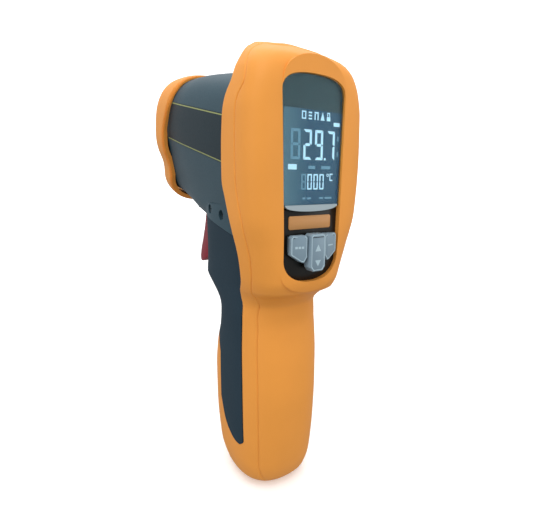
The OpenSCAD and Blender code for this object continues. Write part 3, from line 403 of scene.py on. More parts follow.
def convex_ring(points, centre, count=220):
    """Convex outline of the points, sampled at even angles round a centre."""
    p = sorted(map(tuple, points))

    def straight(o, a, b):
        return (a[0] - o[0]) * (b[1] - o[1]) - (a[1] - o[1]) * (b[0] - o[0]) <= 0

    def chain(seq):
        out = []
        for q in seq:
            while len(out) > 1 and straight(out[-2], out[-1], q):
                out.pop()
            out.append(q)
        return out[:-1]

    hull = np.array(chain(p) + chain(reversed(p)))
    rel = hull - centre
    ang = np.unwrap(np.arctan2(rel[:, 1], rel[:, 0]))
    want = ang[0] + np.mod(even(count) - math.pi - ang[0], 2 * math.pi)
    ang = np.append(ang, ang[0] + 2 * math.pi)
    rel = np.vstack([rel, rel[:1]])
    i = np.clip(np.searchsorted(ang, want, side="right") - 1, 0, len(rel) - 2)
    a, d = rel[i], rays(want)
    e = rel[i + 1] - a
    t = (a[:, 0] * e[:, 1] - a[:, 1] * e[:, 0]) / (d[:, 0] * e[:, 1] - d[:, 1] * e[:, 0])
    return d * t[:, None] + centre


def barrel_solid(name, inset, first, last, step=3.0):
    rings, centre = [], np.array([0.0, BARREL_MID])
    for u in levels_of(BARREL_ROWS, step, first, last):
        both = np.vstack([lobe(BARREL_ROWS, u, inset, upper, 180) for upper in (True, False)])
        rings.append(np.array([sight(x, u, v) for x, v in convex_ring(both, centre)]))
    return loft(name, rings)


def nose_ring(u, inset, fill, count=288):
    """Outline of the two lobes together, with the crease between them filled by a soft hollow."""
    want, span = even(count) - math.pi, 3
    centre = np.array([0.0, NOSE_MID])
    reach = np.zeros(count)
    for upper in (True, False):
        rel = lobe(NOSE_ROWS, u, inset, upper, 720) - centre
        polar = sorted(zip(np.arctan2(rel[:, 1], rel[:, 0]), np.hypot(rel[:, 0], rel[:, 1])))
        reach = np.maximum(reach, np.interp(want, *zip(*polar), period=2 * math.pi))
    for _ in range(fill):
        a, b = np.roll(reach, span), np.roll(reach, -span)
        chord = 2 * a * b * math.cos(2 * span * math.pi / count) / (a + b)
        reach = np.maximum(reach, chord)
    return rays(want) * reach[:, None] + centre


def nose_solid(name, inset, first=NOSE0, last=NOSE1, step=1.2, fill=14):
    return loft(name, [np.array([sight(x, u, v) for x, v in nose_ring(u, inset, fill)])
                       for u in levels_of(NOSE_ROWS, step, first, last)])


# ---------------------------------------------------------------- outlines
GROOVE_LINE = side_line(GROOVE_ROWS, -1, LINE_TOP)
EDGE_LINE = side_line(EDGE_ROWS, PAD_FOOT, LINE_TOP)
RIM_LINE = side_line(EDGE_ROWS, 88, LINE_TOP)
PAD_LINE = side_line(EDGE_ROWS, PAD_FOOT, PAD_TOP + 0.5)
PAD_TIP = [(6.5, 30), (5.4, 27.6), (4, 25.6), (2.4, 23.9), (0.5, 22.6), (-1.4, 21.4), (-3.5, 20.6),
           (-5.2, 20.3), (-7, 20.4)]


def band_outline():
    return ([(-FAR, -1), (-FAR, OVER), (-14, OVER)] + moved(EDGE_LINE, -SEAM)[::-1]
            + moved(PAD_TIP, 0, -SEAM)[::-1] + [(DOOR_EDGE, 36), (DOOR_EDGE, -1)])


def pad_outline():
    return (PAD_TIP + PAD_LINE
            + [(along(EDGE_ROWS, PAD_TOP), PAD_TOP), (FAR, 136), (FAR, DOOR_HIGH + 2.4),
               (24, DOOR_HIGH + 2.2), (17, DOOR_HIGH), (11.5, DOOR_HIGH - 4.5),
               (DOOR_EDGE, DOOR_HIGH - 10), (DOOR_EDGE, 36)])


def door_outline():
    s = SEAM
    return [(DOOR_EDGE + s, -1), (FAR, -1), (FAR, DOOR_HIGH + 2.2), (24, DOOR_HIGH + 2.2 - s),
            (17 + s / 2, DOOR_HIGH - s), (11.5 + s, DOOR_HIGH - 4.5 - s),
            (DOOR_EDGE + s, DOOR_HIGH - 10 - s)]


def window_outline(grow):
    """Rim of the window: a wider arch above and a deeper, slightly narrower one below."""
    out, steps = [], 48
    for start, n, mid, rise, widen in ((0, 2.6, WIN_TOP - 6.6, 6.6, 1.1),
                                       (180, 2.3, WIN_LOW + 9.4, 9.4, -0.2)):
        half = WIN_R + widen + grow
        for i in range(steps + 1):
            a = math.radians(i * 180 / steps + start)
            out.append((float(half * bulge(math.cos(a), n)),
                        float(mid + (rise + grow) * bulge(math.sin(a), n))))
    return out


def strip_outline(v0, v1, grow=0.0, u0=22.0):
    """Strip of the barrel's side between two heights, that ends under the nose's slanted edge."""
    (a, b), (c, d) = BEZEL_BACK[2], BEZEL_BACK[5]

    def end(v):
        return NOSE0 + a + (v - SIGHT_V - b) * (c - a) / (d - b) - 0.6 + grow

    corners = ((u0 - grow, v0 - grow), (end(v0), v0 - grow), (end(v1), v1 + grow),
               (u0 - grow, v1 + grow))
    return [sight(0, u, v)[1:] for u, v in corners]


def behind_nose(run=0):
    """Region behind the nose hood's rear edge, moved forward by a run."""
    return ([sight(0, NOSE0 + u + run, SIGHT_V + v)[1:] for u, v in BEZEL_BACK]
            + [(-FAR, 0), (-FAR, OVER)])


# ---------------------------------------------------------------- shells
CHIN_R, CHIN_TOP, CHIN_DROP, CHIN_DEEP = 12.9, 99.4, 8.1, 0.95
CHIN_DOWN = [[81, 0], [84, 0.12], [88, 0.85], [92, 1], [96, 0.62], [99.5, 0.06], [102, 0]]
CHIN_ASIDE = [[0, 1], [7, 1], [11, 0.6], [14, 0.12], [16.5, 0], [40, 0]]
BROW_R, BROW_FOOT, BROW_ARCH, BROW_SQUARE = 13.2, 160.5, 162, 2.4


def chin_step():
    """Thin layer under the U-shaped lip below the window.

    It is deepest at the middle of the lip and fades out sideways and down.
    """
    def pressed(z):
        ring = body_ring(z, 0)
        ring[:, 1] += [CHIN_DEEP * along(CHIN_DOWN, z) * along(CHIN_ASIDE, abs(x)) if y < 0 else 0
                       for x, y, _ in ring]
        return ring

    heights = [float(z) for z in np.arange(80.6, 101.2, 0.6)]
    layer = minus(loft("layer", [body_ring(z, -1.0) for z in heights[1:-1]]),
                  loft("pressed", [pressed(z) for z in heights]))
    arc = [(CHIN_R * math.cos(a), CHIN_TOP - CHIN_DROP * float(bulge(math.sin(a), 2.1)))
           for a in np.radians(np.arange(0, 181, 4))]
    below = arc + [(-24, CHIN_TOP), (-24, 78), (24, 78), (24, CHIN_TOP)]
    return common(layer, prism_y("below", below, FACE_Y - 9, FACE_Y + 18))


def make_rear_cover():
    o = common(body_solid("rear_cover_shell", 0),
               side_prism("rear", moved(GROOVE_LINE, -SEAM / 2) + [(-FAR, OVER), (-FAR, -1)]))
    rise = BROW_Z - BROW_ARCH
    arc = [(BROW_R * math.cos(a), BROW_ARCH + rise * float(bulge(math.sin(a), BROW_SQUARE)))
           for a in np.radians(np.arange(180, -1, -3))]
    brow = [(-BROW_R, BROW_FOOT)] + arc + [(BROW_R, BROW_FOOT)]
    plus(o, prism_y("brow", brow, FACE_Y, FACE_Y + 9))
    minus(o, chin_step())
    minus(o, body_solid("hollow", WALL, 3))
    minus(o, prism_y("window", window_outline(0), FACE_Y - 9, INNER_Y + 9))
    return minus(o, prism_y("seat", window_outline(WINDOW_SEAT), INNER_Y, INNER_Y + 12))


def make_band():
    o = common(body_solid("body_band_shell", 0),
               side_prism("front", moved(GROOVE_LINE, SEAM / 2) + [(FAR, OVER), (FAR, -1)]))
    common(o, side_prism("band", band_outline()))
    room = ([(-FAR, 0), (-FAR, OVER), (CAVITY_Y, OVER)] + moved(RIM_LINE, -BAND_LIP)[::-1]
            + [(FAR, 86), (FAR, 0)])
    hollow = common(body_solid("hollow", WALL, 3), side_prism("room", room))
    minus(hollow, prism_z("boss", circle((0, 0), INSERT_R + BOSS_T), 0, INSERT_H))
    minus(o, hollow)
    minus(o, barrel_solid("barrel", -SEAM, 4, NOSE0))
    minus(o, front_solid("core", -SEAM, 86))
    minus(o, rod_x("hinge", -FAR, FAR, HINGE, HINGE_ROOM_R))
    return minus(o, prism_z("insert", circle((0, 0), INSERT_R + RUN), -1, INSERT_H + 1))


def make_housing():
    o = barrel_solid("housing", 0, BARREL0, CORE1)
    plus(o, common(front_solid("core", PAD_T + RUN), side_prism("pads", pad_outline())))
    at = along(EDGE_ROWS, PAD_TOP)
    over_pads = [(at, PAD_TOP + SEAM), (FAR, 136 + SEAM), (FAR, OVER), (at, OVER)]
    plus(o, common(front_solid("collar", 0), side_prism("over_pads", over_pads)))
    minus(o, barrel_solid("hollow", WALL, 0, NOSE1, 6))
    minus(o, front_solid("hollow", WALL, step=4))
    pocket = minus(barrel_solid("pocket", -1, BARREL0, BARREL1, 8),
                   barrel_solid("floor", LABEL_T + 0.01, BARREL0, BARREL1, 8))
    common(pocket, side_prism("strip", strip_outline(LABEL_LOW, LABEL_HIGH, RUN)))
    minus(pocket, slice_x("middle", -LABEL_X, LABEL_X))
    minus(o, pocket)
    layer = minus(front_solid("layer", -SEAM), front_solid("under", PAD_T + RUN))
    minus(o, common(layer, side_prism("pads", pad_outline())))
    minus(o, side_prism("rear", [(-FAR, 0), (-FAR, OVER), (CAVITY_Y, OVER)]
                        + moved(EDGE_LINE, -EDGE_LIP)[::-1] + [(-9, PAD_FOOT), (-9, 0)]))
    minus(o, prism_x("slot", SLOT, -SLOT_R, SLOT_R))
    minus(o, rod_x("hub", -HUB_HALF, HUB_HALF, TRIGGER_PIN, HUB_R))
    minus(o, rod_x("pin", -PIN_HALF, PIN_HALF, TRIGGER_PIN, PIN_R))
    for spot in SCREWS:
        minus(o, rod_x("screw", -FAR, -SCREW_X, spot, SCREW_R))
    return o


def skin(name, outer, inner, v0, v1):
    """Thin layer over the barrel's sides, between two insets."""
    o = minus(barrel_solid(name, outer, BARREL0, BARREL1, 4),
              barrel_solid("under", inner, BARREL0, BARREL1, 4))
    common(o, side_prism("strip", strip_outline(v0, v1)))
    common(o, side_prism("front", bar(LABEL_REAR, FAR, 0, OVER)))
    return minus(o, slice_x("middle", -LABEL_X, LABEL_X))


def make_pads():
    o = minus(front_solid("grip_pad", 0), front_solid("under", PAD_T))
    minus(o, prism_x("slot", SLOT, -SLOT_R, SLOT_R))
    return common(o, side_prism("pads", pad_outline()))


def make_nose():
    o = nose_solid("nose_bezel_shell", 0)
    minus(o, nose_solid("hollow", NOSE_WALL, NOSE0 - 2, NOSE1 + 2, 4, 0))
    minus(o, side_prism("behind", behind_nose()))
    minus(o, barrel_solid("barrel", -SEAM, NOSE0 - 4, CORE1 + 0.2))
    for inset, run in BEZEL_STEPS:
        minus(o, minus(side_prism("behind", behind_nose(run)),
                       nose_solid("kept", inset, NOSE0 - 2, NOSE1 + 2, 3)))
    return o


def make_door():
    knuckle, gap = 6.05, 2.35              # ends of the bracket's two arms, from the middle
    top, rod_top = 80, 20
    o = minus(front_solid("battery_door_shell", 0, high=top), front_solid("in", WALL, high=top))
    common(o, side_prism("door", door_outline()))
    rods = rod_x("rods", -HEAD_R, HEAD_R, HINGE, HINGE_R)
    plus(o, common(rods, front_solid("outside", 0, high=rod_top)))
    minus(o, rod_x("knuckles", -knuckle, knuckle, HINGE, KNUCKLE_R))
    arm = [(9.3, 2.2), (8, 3.4), (13, 10), (18.4, 10), (14.8, 6), (12.4, 4.3), (10.6, 2.4)]
    for x0, x1 in ((-knuckle, -gap), (gap, knuckle)):
        minus(o, prism_x("arm", arm, x0, x1))
    return o


# ---------------------------------------------------------------- materials
MATS = {}


def linear(rgb):
    """Linear colour of an sRGB one, given as 0 to 255."""
    return [(c / 255) / 12.92 if c <= 10 else ((c / 255 + 0.055) / 1.055) ** 2.4 for c in rgb]


def material(name, rgb, rough=0.5, grain=900, bump=0.02, vary=0.06, metal=0.0, coat=0.0, spec=0.5,
             glow=None, transmit=0.0, ior=1.46, rough_vary=0.08, wide=35, stretch=(1, 1, 1)):
    """Moulded, metal or glass surface; bump is in millimetres, grain and wide are noise scales."""
    m = MATS[name] = bpy.data.materials.new(name)
    m.use_nodes = True
    t = m.node_tree
    b = t.nodes["Principled BSDF"]
    for socket, value in (("Metallic", metal), ("Coat Weight", coat), ("Coat Roughness", 0.15),
                          ("Specular IOR Level", spec), ("IOR", ior),
                          ("Transmission Weight", transmit)):
        b.inputs[socket].default_value = value
    if glow:
        b.inputs["Emission Color"].default_value = (*linear(glow[0]), 1)
        b.inputs["Emission Strength"].default_value = glow[1]
    where = t.nodes.new("ShaderNodeTexCoord")
    turn = t.nodes.new("ShaderNodeMapping")
    turn.inputs["Scale"].default_value = stretch
    t.links.new(where.outputs["Object"], turn.inputs["Vector"])

    def noise(scale, detail):
        n = t.nodes.new("ShaderNodeTexNoise")
        n.inputs["Scale"].default_value = scale
        n.inputs["Detail"].default_value = detail
        t.links.new(turn.outputs["Vector"], n.inputs["Vector"])
        return n

    broad, fine = noise(wide, 3), noise(grain, 2)
    base = linear(rgb)
    ramp = t.nodes.new("ShaderNodeValToRGB")
    dark, light = ramp.color_ramp.elements
    dark.position, light.position = 0.3, 0.7
    dark.color = (*[c * (1 - vary) for c in base], 1)
    light.color = (*[min(1, c * (1 + vary)) for c in base], 1)
    t.links.new(broad.outputs["Fac"], ramp.inputs["Fac"])
    t.links.new(ramp.outputs["Color"], b.inputs["Base Color"])
    span = t.nodes.new("ShaderNodeMapRange")
    span.inputs["To Min"].default_value = max(0, rough - rough_vary)
    span.inputs["To Max"].default_value = min(1, rough + rough_vary)
    t.links.new(fine.outputs["Fac"], span.inputs["Value"])
    t.links.new(span.outputs["Result"], b.inputs["Roughness"])
    if bump:
        lift = t.nodes.new("ShaderNodeBump")
        lift.inputs["Strength"].default_value = 0.5
        lift.inputs["Distance"].default_value = bump * MM
        t.links.new(fine.outputs["Fac"], lift.inputs["Height"])
        t.links.new(lift.outputs["Normal"], b.inputs["Normal"])
    return m


def lcd_film():
    """Lit display: brighter blue-grey on the left, deeper towards the right."""
    t = material("lcd_film", (60, 84, 100), 0.35, 600, 0, 0.08, coat=0.08, spec=0.3).node_tree
    b = t.nodes["Principled BSDF"]
    split, span, ramp = (t.nodes.new("ShaderNode" + k)
                         for k in ("SeparateXYZ", "MapRange", "ValToRGB"))
    t.links.new(t.nodes["Texture Coordinate"].outputs["Object"], split.inputs[0])
    t.links.new(split.outputs["X"], span.inputs["Value"])
    span.inputs["From Min"].default_value = -13 * MM
    span.inputs["From Max"].default_value = 13 * MM
    t.links.new(span.outputs["Result"], ramp.inputs["Fac"])
    left, rest = ramp.color_ramp.elements
    left.color = (*linear((98, 124, 134)), 1)
    rest.color = (*linear((50, 82, 105)), 1)
    rest.position = 0.45
    t.links.new(ramp.outputs["Color"], b.inputs["Base Color"])
    t.links.new(ramp.outputs["Color"], b.inputs["Emission Color"])
    b.inputs["Emission Strength"].default_value = 0.35


BRUSHED = (1, 1, 12)                       # grain drawn out along one axis
WHITE = (255, 255, 255)

# The CAD's material slots: colour, roughness, grain, bump, colour variation
material("orange_shell", (238, 157, 68), 0.48, 1400, 0.018, 0.035, spec=0.26)
material("slate_shell", (50, 76, 88), 0.46, 1500, 0.022, 0.05, spec=0.22)
material("grip_pad", (38, 56, 68), 0.66, 1100, 0.06, 0.06, spec=0.16)
material("black_plastic", (26, 26, 27), 0.5, 1500, 0.02, 0.08)
material("panel_black", (18, 19, 17), 0.35, 1800, 0.008, 0.06, coat=0.06, spec=0.3)
material("steel", (190, 192, 194), 0.3, 900, 0.01, 0.05, metal=1.0, stretch=BRUSHED)
material("brass", (196, 160, 88), 0.3, 900, 0.01, 0.05, metal=1.0, stretch=BRUSHED)
material("lens", (196, 216, 222), 0.04, 1200, 0, 0.02, transmit=1.0, ior=1.18, rough_vary=0.02)
material("lcd", (40, 62, 76), 0.3, 600, 0, 0.08, glow=((70, 104, 124), 0.55), wide=60)
material("white_plastic", (232, 234, 236), 0.45, 1200, 0.01, 0.02)
material("rubber_strip", (140, 142, 146), 0.7, 1500, 0.02, 0.04)
material("plate", (196, 140, 82), 0.38, 1200, 0.006, 0.04, coat=0.05)
material("keys", (124, 146, 160), 0.4, 1500, 0.01, 0.04, coat=0.1)
material("board", (28, 84, 50), 0.35, 700, 0.02, 0.12, coat=0.3, wide=260)
material("trigger_red", (138, 26, 44), 0.42, 1400, 0.012, 0.05, coat=0.04, spec=0.2)
material("ir_lens", (60, 62, 68), 0.12, 900, 0, 0.05, metal=0.3, coat=0.5)
material("laser_window", (110, 20, 24), 0.1, 900, 0, 0.05, coat=0.6)
material("battery_can", (96, 100, 106), 0.35, 900, 0.01, 0.04, metal=0.6, coat=0.2)
material("lead_red", (170, 34, 34), 0.5, 1200, 0.01, 0.05)
material("lead_black", (24, 24, 24), 0.5, 1200, 0.01, 0.05)
material("label", (24, 44, 53), 0.42, 1800, 0.006, 0.04, spec=0.16)

# Finer looks within those slots, then the stage
material("glow_digit", (200, 222, 234), 0.4, 900, 0, 0.02, glow=((206, 226, 238), 0.78))
material("dim_digit", (112, 146, 162), 0.4, 900, 0, 0.02, glow=((120, 156, 176), 0.42))
material("mask", (60, 77, 79), 0.35, 900, 0, 0.05, coat=0.08, spec=0.3)
material("grey_band", (160, 176, 182), 0.35, 900, 0, 0.04, coat=0.2)
material("screw_dark", (58, 72, 80), 0.4, 900, 0.01, 0.05, metal=0.3, stretch=BRUSHED)
lcd_film()
# painted highlight colour for the light bands round the keys' faces, also the colour of the keys'
# printed signs
material("key_print_and_highlight", (172, 196, 206), 0.45, 900, 0, 0.03)
material("label_line", (150, 158, 96), 0.45, 900, 0, 0.04)
material("wall", (250, 250, 250), 0.7, 30, 0, 0.002, spec=0.1, glow=(WHITE, 0.75))
material("floor", (250, 250, 250), 0.7, 30, 0, 0.002, spec=0.1, glow=(WHITE, 0.22))


# ---------------------------------------------------------------- dressing the pieces
def finish_piece(o, body, slot, *nodes, angle=32, paint=None):
    """Shade a piece, paint it with its paint or its slot's material, put it under its body, and
    hide the CAD parts it replaces.
    """
    if angle:
        o.data.shade_smooth()
        o.data.set_sharp_from_angle(angle=math.radians(angle))
    o.data.materials.clear()
    o.data.materials.append(MATS[paint or slot])
    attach(o, body)
    if nodes:
        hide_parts(*nodes)


def ease(node, width, segments=2, angle=30):
    """Break the edges of a CAD part that stays."""
    o = frame["nodes"][node]
    w = o.modifiers.new("weld", "WELD")
    w.merge_threshold = 0.002 * MM
    b = o.modifiers.new("ease", "BEVEL")
    b.width, b.segments = width * MM, segments
    b.limit_method, b.angle_limit = "ANGLE", math.radians(angle)
    b.harden_normals = True
    for p in o.data.polygons:
        p.use_smooth = True


SLOT_OF = {s["node"]: s["material_slot"] for s in frame["record"]["subparts"]}
for node, o in frame["nodes"].items():
    paints = o.data.materials
    if len(paints) == 0:
        paints.append(MATS[SLOT_OF[node]])
    for i in range(len(paints)):
        paints[i] = MATS[SLOT_OF[node]]
frame["nodes"]["case_screws"].data.materials[0] = MATS["screw_dark"]

EASED = {
    "trigger": 0.9, "key_left": 0.22, "key_right": 0.22, "key_rocker": 0.25, "name_plate": 0.1,
    "battery_tray": 0.3, "door_latch": 0.2, "key_panel": 0.12, "trigger_switch": 0.2,
    "door_knuckles": 0.15, "hinge_bracket": 0.15,
}
for node, width in EASED.items():
    ease(node, width)

# ---------------------------------------------------------------- build the shells
finish_piece(make_rear_cover(), "body", "orange_shell", "rear_cover")
finish_piece(make_band(), "body", "orange_shell", "body_band")
finish_piece(make_nose(), "body", "orange_shell", "nose_bezel")
finish_piece(make_door(), "door", "orange_shell", "battery_door")
HALF_GAP = 0.04                            # from x = 0 to each half
housing, pads = make_housing(), make_pads()
for name, ends in (("left", (-FAR, -HALF_GAP)), ("right", (HALF_GAP, FAR))):
    for whole, node, slot in ((housing, "housing", "slate_shell"), (pads, "grip_pad", "grip_pad")):
        half = common(twin(whole, f"{node}_{name}_shell"), slice_x("half", *ends))
        finish_piece(half, "body", slot, f"{node}_{name}")
bpy.data.objects.remove(housing)
bpy.data.objects.remove(pads)
panel = skin("side_label_panel", 0, LABEL_T, LABEL_LOW, LABEL_HIGH)
finish_piece(panel, "body", "label", "side_label")
for i, v in enumerate((SIGHT_V + LINE_V, SIGHT_V - LINE_V)):
    line = skin(f"label_line_{i + 1}", -LINE_PROUD, LINE_DEEP, v - LINE_HALF, v + LINE_HALF)
    finish_piece(line, "body", "label", paint="label_line")

# ---------------------------------------------------------------- display
SEGMENTS = {"0": "abcdef", "2": "abdeg", "7": "abc", "8": "abcdefg", "9": "abcdfg"}
# Each digit: what it shows, its two ends in x, and whether it is lit
LARGE = [("8", -8.2, -4.2, False), ("2", -2.9, 0.7, True), ("9", 2.1, 5.7, True),
         ("7", 7.6, 11.1, True)]
SMALL = [("8", -3.5, -1.5, False), ("0", -0.9, 1.1, True), ("0", 1.8, 3.8, True),
         ("0", 4.5, 6.5, True)]
DRAWN_X = -0.75                            # the digits are drawn this far from the middle
# Small generic signs above the digits: x of each, and its shapes
SIGNS = [
    (-3.6, [bar(-0.9, 0.9, 152.2, 152.6), bar(-0.9, 0.9, 154.4, 154.8),
            bar(-0.9, -0.5, 152.6, 154.4), bar(0.5, 0.9, 152.6, 154.4)]),
    (-0.9, [bar(-0.7, 0.7, z, z + 0.5) for z in (152.2, 153.2, 154.2)]),
    (1.8, [bar(-0.9, -0.4, 152.2, 154.2), bar(0.4, 0.9, 152.2, 154.2),
           bar(-0.9, 0.9, 154.3, 154.8)]),
    (4.5, [[(-0.9, 152.2), (0.9, 152.2), (0, 155)]]),
    (7.2, [bar(-0.8, 0.8, 152.2, 153.6), bar(-0.6, -0.3, 153.7, 155), bar(0.3, 0.6, 153.7, 155),
           bar(-0.3, 0.3, 154.7, 155)]),
]


def digit_shapes(x0, x1, z0, z1, w, which):
    """Outlines of the shown bars of one seven-bar digit, with bars of width w."""
    g, zm = w * 0.12, (z0 + z1) / 2

    def upright(x, way, z, turn):
        """One upright bar; way is 1 from the left end and turn is 1 above the middle."""
        return [(x, z - turn * g), (x + way * w, z - turn * (w + g)),
                (x + way * w, zm + turn * w * 0.6), (x + way * w * 0.4, zm + turn * g),
                (x, zm + turn * g * 1.5)]

    shapes = {
        "a": [(x0 + g, z1), (x1 - g, z1), (x1 - w, z1 - w), (x0 + w, z1 - w)],
        "d": [(x0 + g, z0), (x1 - g, z0), (x1 - w, z0 + w), (x0 + w, z0 + w)],
        "g": [(x0 + w * 0.7, zm), (x0 + w * 1.1, zm + w / 2), (x1 - w * 1.1, zm + w / 2),
              (x1 - w * 0.7, zm), (x1 - w * 1.1, zm - w / 2), (x0 + w * 1.1, zm - w / 2)],
        "f": upright(x0, 1, z1, 1), "b": upright(x1, -1, z1, 1),
        "e": upright(x0, 1, z0, -1), "c": upright(x1, -1, z0, -1),
    }
    return [shapes[k] for k in which]


def ring_shapes(cx, cz, r, w, count=20):
    """Ring of width w, as short straight pieces."""
    turns = [2 * math.pi * i / count for i in range(count + 1)]
    return [[(cx + q * math.cos(a), cz + q * math.sin(a))
             for q, a in ((r, a0), (r, a1), (r - w, a1), (r - w, a0))]
            for a0, a1 in zip(turns, turns[1:])]


def flat_marks(name, shapes, face, proud, deep, slot, paint, body="body"):
    """Many thin flat shapes as one piece (print, display bars, and the painted highlights round the
    keys), from proud of a face (y by x) to deep behind it.
    """
    pts, faces = [], []
    for s in shapes:
        k, n = len(pts), len(s)
        pts += [(x, face(x) - proud, z) for x, z in s] + [(x, face(x) + deep, z) for x, z in s]
        faces += [[k + i for i in range(n)], [k + n + i for i in reversed(range(n))]]
        faces += [[k + i, k + (i + 1) % n, k + n + (i + 1) % n, k + n + i] for i in range(n)]
    finish_piece(mesh_object(name, pts, faces), body, slot, angle=None, paint=paint)


def drawn(shapes):
    return [[(x + DRAWN_X, z) for x, z in s] for s in shapes]


lit, dim = [], []
for rows, z0, z1, w, extra in ((LARGE, 138.8, 148.9, 0.95, [bar(6.3, 7.1, 138.8, 139.6)]),
                               (SMALL, 128.6, 134, 0.5, [bar(-9.2, -5.6, 135.4, 137.2)])):
    for ch, x0, x1, on in rows:
        shapes = digit_shapes(x0 + DRAWN_X, x1 + DRAWN_X, z0, z1, w, SEGMENTS[ch])
        (lit if on else dim).extend(shapes)
    lit += drawn(extra)
lit += [[(x + dx, z) for dx, z in s] for x, shapes in SIGNS for s in shapes]
lit += [bar(9.6, 12.4, 150.6, 151.9)] + ring_shapes(8.3 + DRAWN_X, 133.6, 0.55, 0.25)
lit += drawn([bar(9.2, 10.6, 131.6, 132), bar(9.2, 9.6, 132, 133.8), bar(9.2, 10.6, 133.8, 134.2)])
dim += drawn([bar(x0, x1, 135.7, 136.8) for x0, x1 in ((-0.6, 2.4), (5.2, 9.4))])
dim += drawn([bar(x0, x1, 125.2, 125.9)
              for x0, x1 in ((-2.9, -1.6), (-0.9, 0.9), (4.6, 6.4), (7.2, 10.4))])
dim += [bar(11.5, 12.2, z, z + 1.7) for z in (140.2, 145.6)]
for name, shapes, proud, paint in (("display_digits_lit", lit, 0.05, "glow_digit"),
                                   ("display_digits_dim", dim, 0.04, "dim_digit")):
    flat_marks(name, shapes, lambda x: FILM_Y, proud, -0.01, "lcd", paint)


def window_slab(name, grow, y0, y1, z0):
    """Slab of the window's outline, above the height z0."""
    return common(prism_y(name, window_outline(grow), y0, y1),
                  prism_y("above", bar(-20, 20, z0, 190), y0 - 5, y1 + 5))


finish_piece(window_slab("display_lens_clear", -0.1, LENS_Y, FILM_Y - 0.08, LENS_LOW),
             "body", "lens", "display_lens")
lit_area = [(-11.9, LENS_LOW), (20, LENS_LOW), (20, 154.9), (8, 155.3), (-4, 155.5), (-11.9, 155.4)]
film = prism_y("lit_area", lit_area, FACE_Y, INNER_Y + 5)
display = window_slab("display_film", -0.12, FILM_Y, INNER_Y + 0.12, LENS_LOW + 0.05)
border = minus(twin(display, "display_mask"), film, keep=True)
finish_piece(common(display, film), "body", "lcd", paint="lcd_film")
finish_piece(border, "body", "lcd", paint="mask")
flange = window_slab("display_flange", 1.15, INNER_Y + 0.13, INNER_Y + 1.1, LENS_LOW)
finish_piece(flange, "body", "lens", paint="mask")
lip = [(11.6 * math.cos(a), LENS_LOW + 0.5 - 2.3 * float(bulge(math.sin(a), 2.6)))
       for a in np.radians(np.arange(0, 181, 5))]
band = prism_y("display_lower_band", lip, LENS_Y - 0.3, PANEL_Y + 0.05)
minus(band, box("room", (-20, LENS_Y - 0.02, LENS_LOW - 0.06), (20, 0, 170)))
finish_piece(band, "body", "panel_black", paint="grey_band")

# ---------------------------------------------------------------- key marks, and painted highlights round the keys
CAP = [(10.3, 106.2), (10.3, 112.2), (9.6, 113), (4.6, 113), (3.9, 112.3), (3.9, 105.2),
       (5.2, 103.3), (6.2, 103.5)]
ROCKER = [(-3.3, 101.4), (-3.3, 112.7), (-2.6, 113.4), (2.6, 113.4), (3.3, 112.7), (3.3, 101.4),
          (2.2, 100), (-2.2, 100)]
HIGHLIGHT_INSET, HIGHLIGHT_WIDTH = 0.34, 0.3           # painted highlight: light line round each key's face, where its edge catches the light
MARK_PROUD, MARK_DEEP = 0.03, 0.05


def highlight_rim_shapes(outline):
    """Thin band that follows an outline inside its edge, used as the painted highlight round a
    key's face.
    """
    p = np.array(outline, float)
    c = np.mean(outline, axis=0)
    size = np.abs(p - c).max(0)
    a, b = (c + (p - c) * (1 - d / size) for d in (HIGHLIGHT_INSET, HIGHLIGHT_INSET + HIGHLIGHT_WIDTH))
    n = len(p)
    return [[tuple(a[i]), tuple(a[(i + 1) % n]), tuple(b[(i + 1) % n]), tuple(b[i])]
            for i in range(n)]


def key_face(x):
    """y of the side keys' sloping face."""
    t = (abs(x) - 5.4) / 5.0
    if t > 0:
        return KEY_IN_Y + 0.1 + (KEY_OUT_Y - KEY_IN_Y - 0.1) * t
    return KEY_IN_Y + 0.1 * (abs(x) - 3) / 2.4


DOTS = [bar(x0, x1, 108.4, 109.2) for x0, x1 in ((-8.6, -7.7), (-7.4, -6.5), (-6.2, -5.4))]
DASH = [bar(5.6, 8.4, 108.5, 109.0)]
ARROWS = [[(-1.3, 107.2), (1.3, 107.2), (0, 109.6)], [(-1.3, 104), (1.3, 104), (0, 101.8)]]
for side, name, sign in ((-1, "left", DOTS), (1, "right", DASH)):
    # the light band round the key's face is a painted highlight, where the edge catches the light;
    # the dots and the dash are print
    marks_and_highlight = highlight_rim_shapes([(side * x, z) for x, z in CAP]) + sign
    top = [bar(*sorted((side * 4.7, side * 9.6)), 112.0, 112.25)]
    for part, shapes, paint in (("marks_and_highlight", marks_and_highlight, "key_print_and_highlight"), ("top_line", top, "panel_black")):
        flat_marks(f"key_{name}_{part}", shapes, key_face, MARK_PROUD, MARK_DEEP,
                   "keys", paint, f"{name}_key")
# the light band round the rocker's face is a painted highlight; the arrows are print
flat_marks("key_rocker_marks_and_highlight", highlight_rim_shapes(ROCKER) + ARROWS, lambda x: ROCKER_Y, MARK_PROUD,
           MARK_DEEP, "keys", "key_print_and_highlight", "rocker")
flat_marks("key_rocker_top_line", [bar(-2.5, 2.5, 112.1, 112.35)], lambda x: ROCKER_Y,
           MARK_PROUD + 0.005, MARK_DEEP, "keys", "panel_black", "rocker")


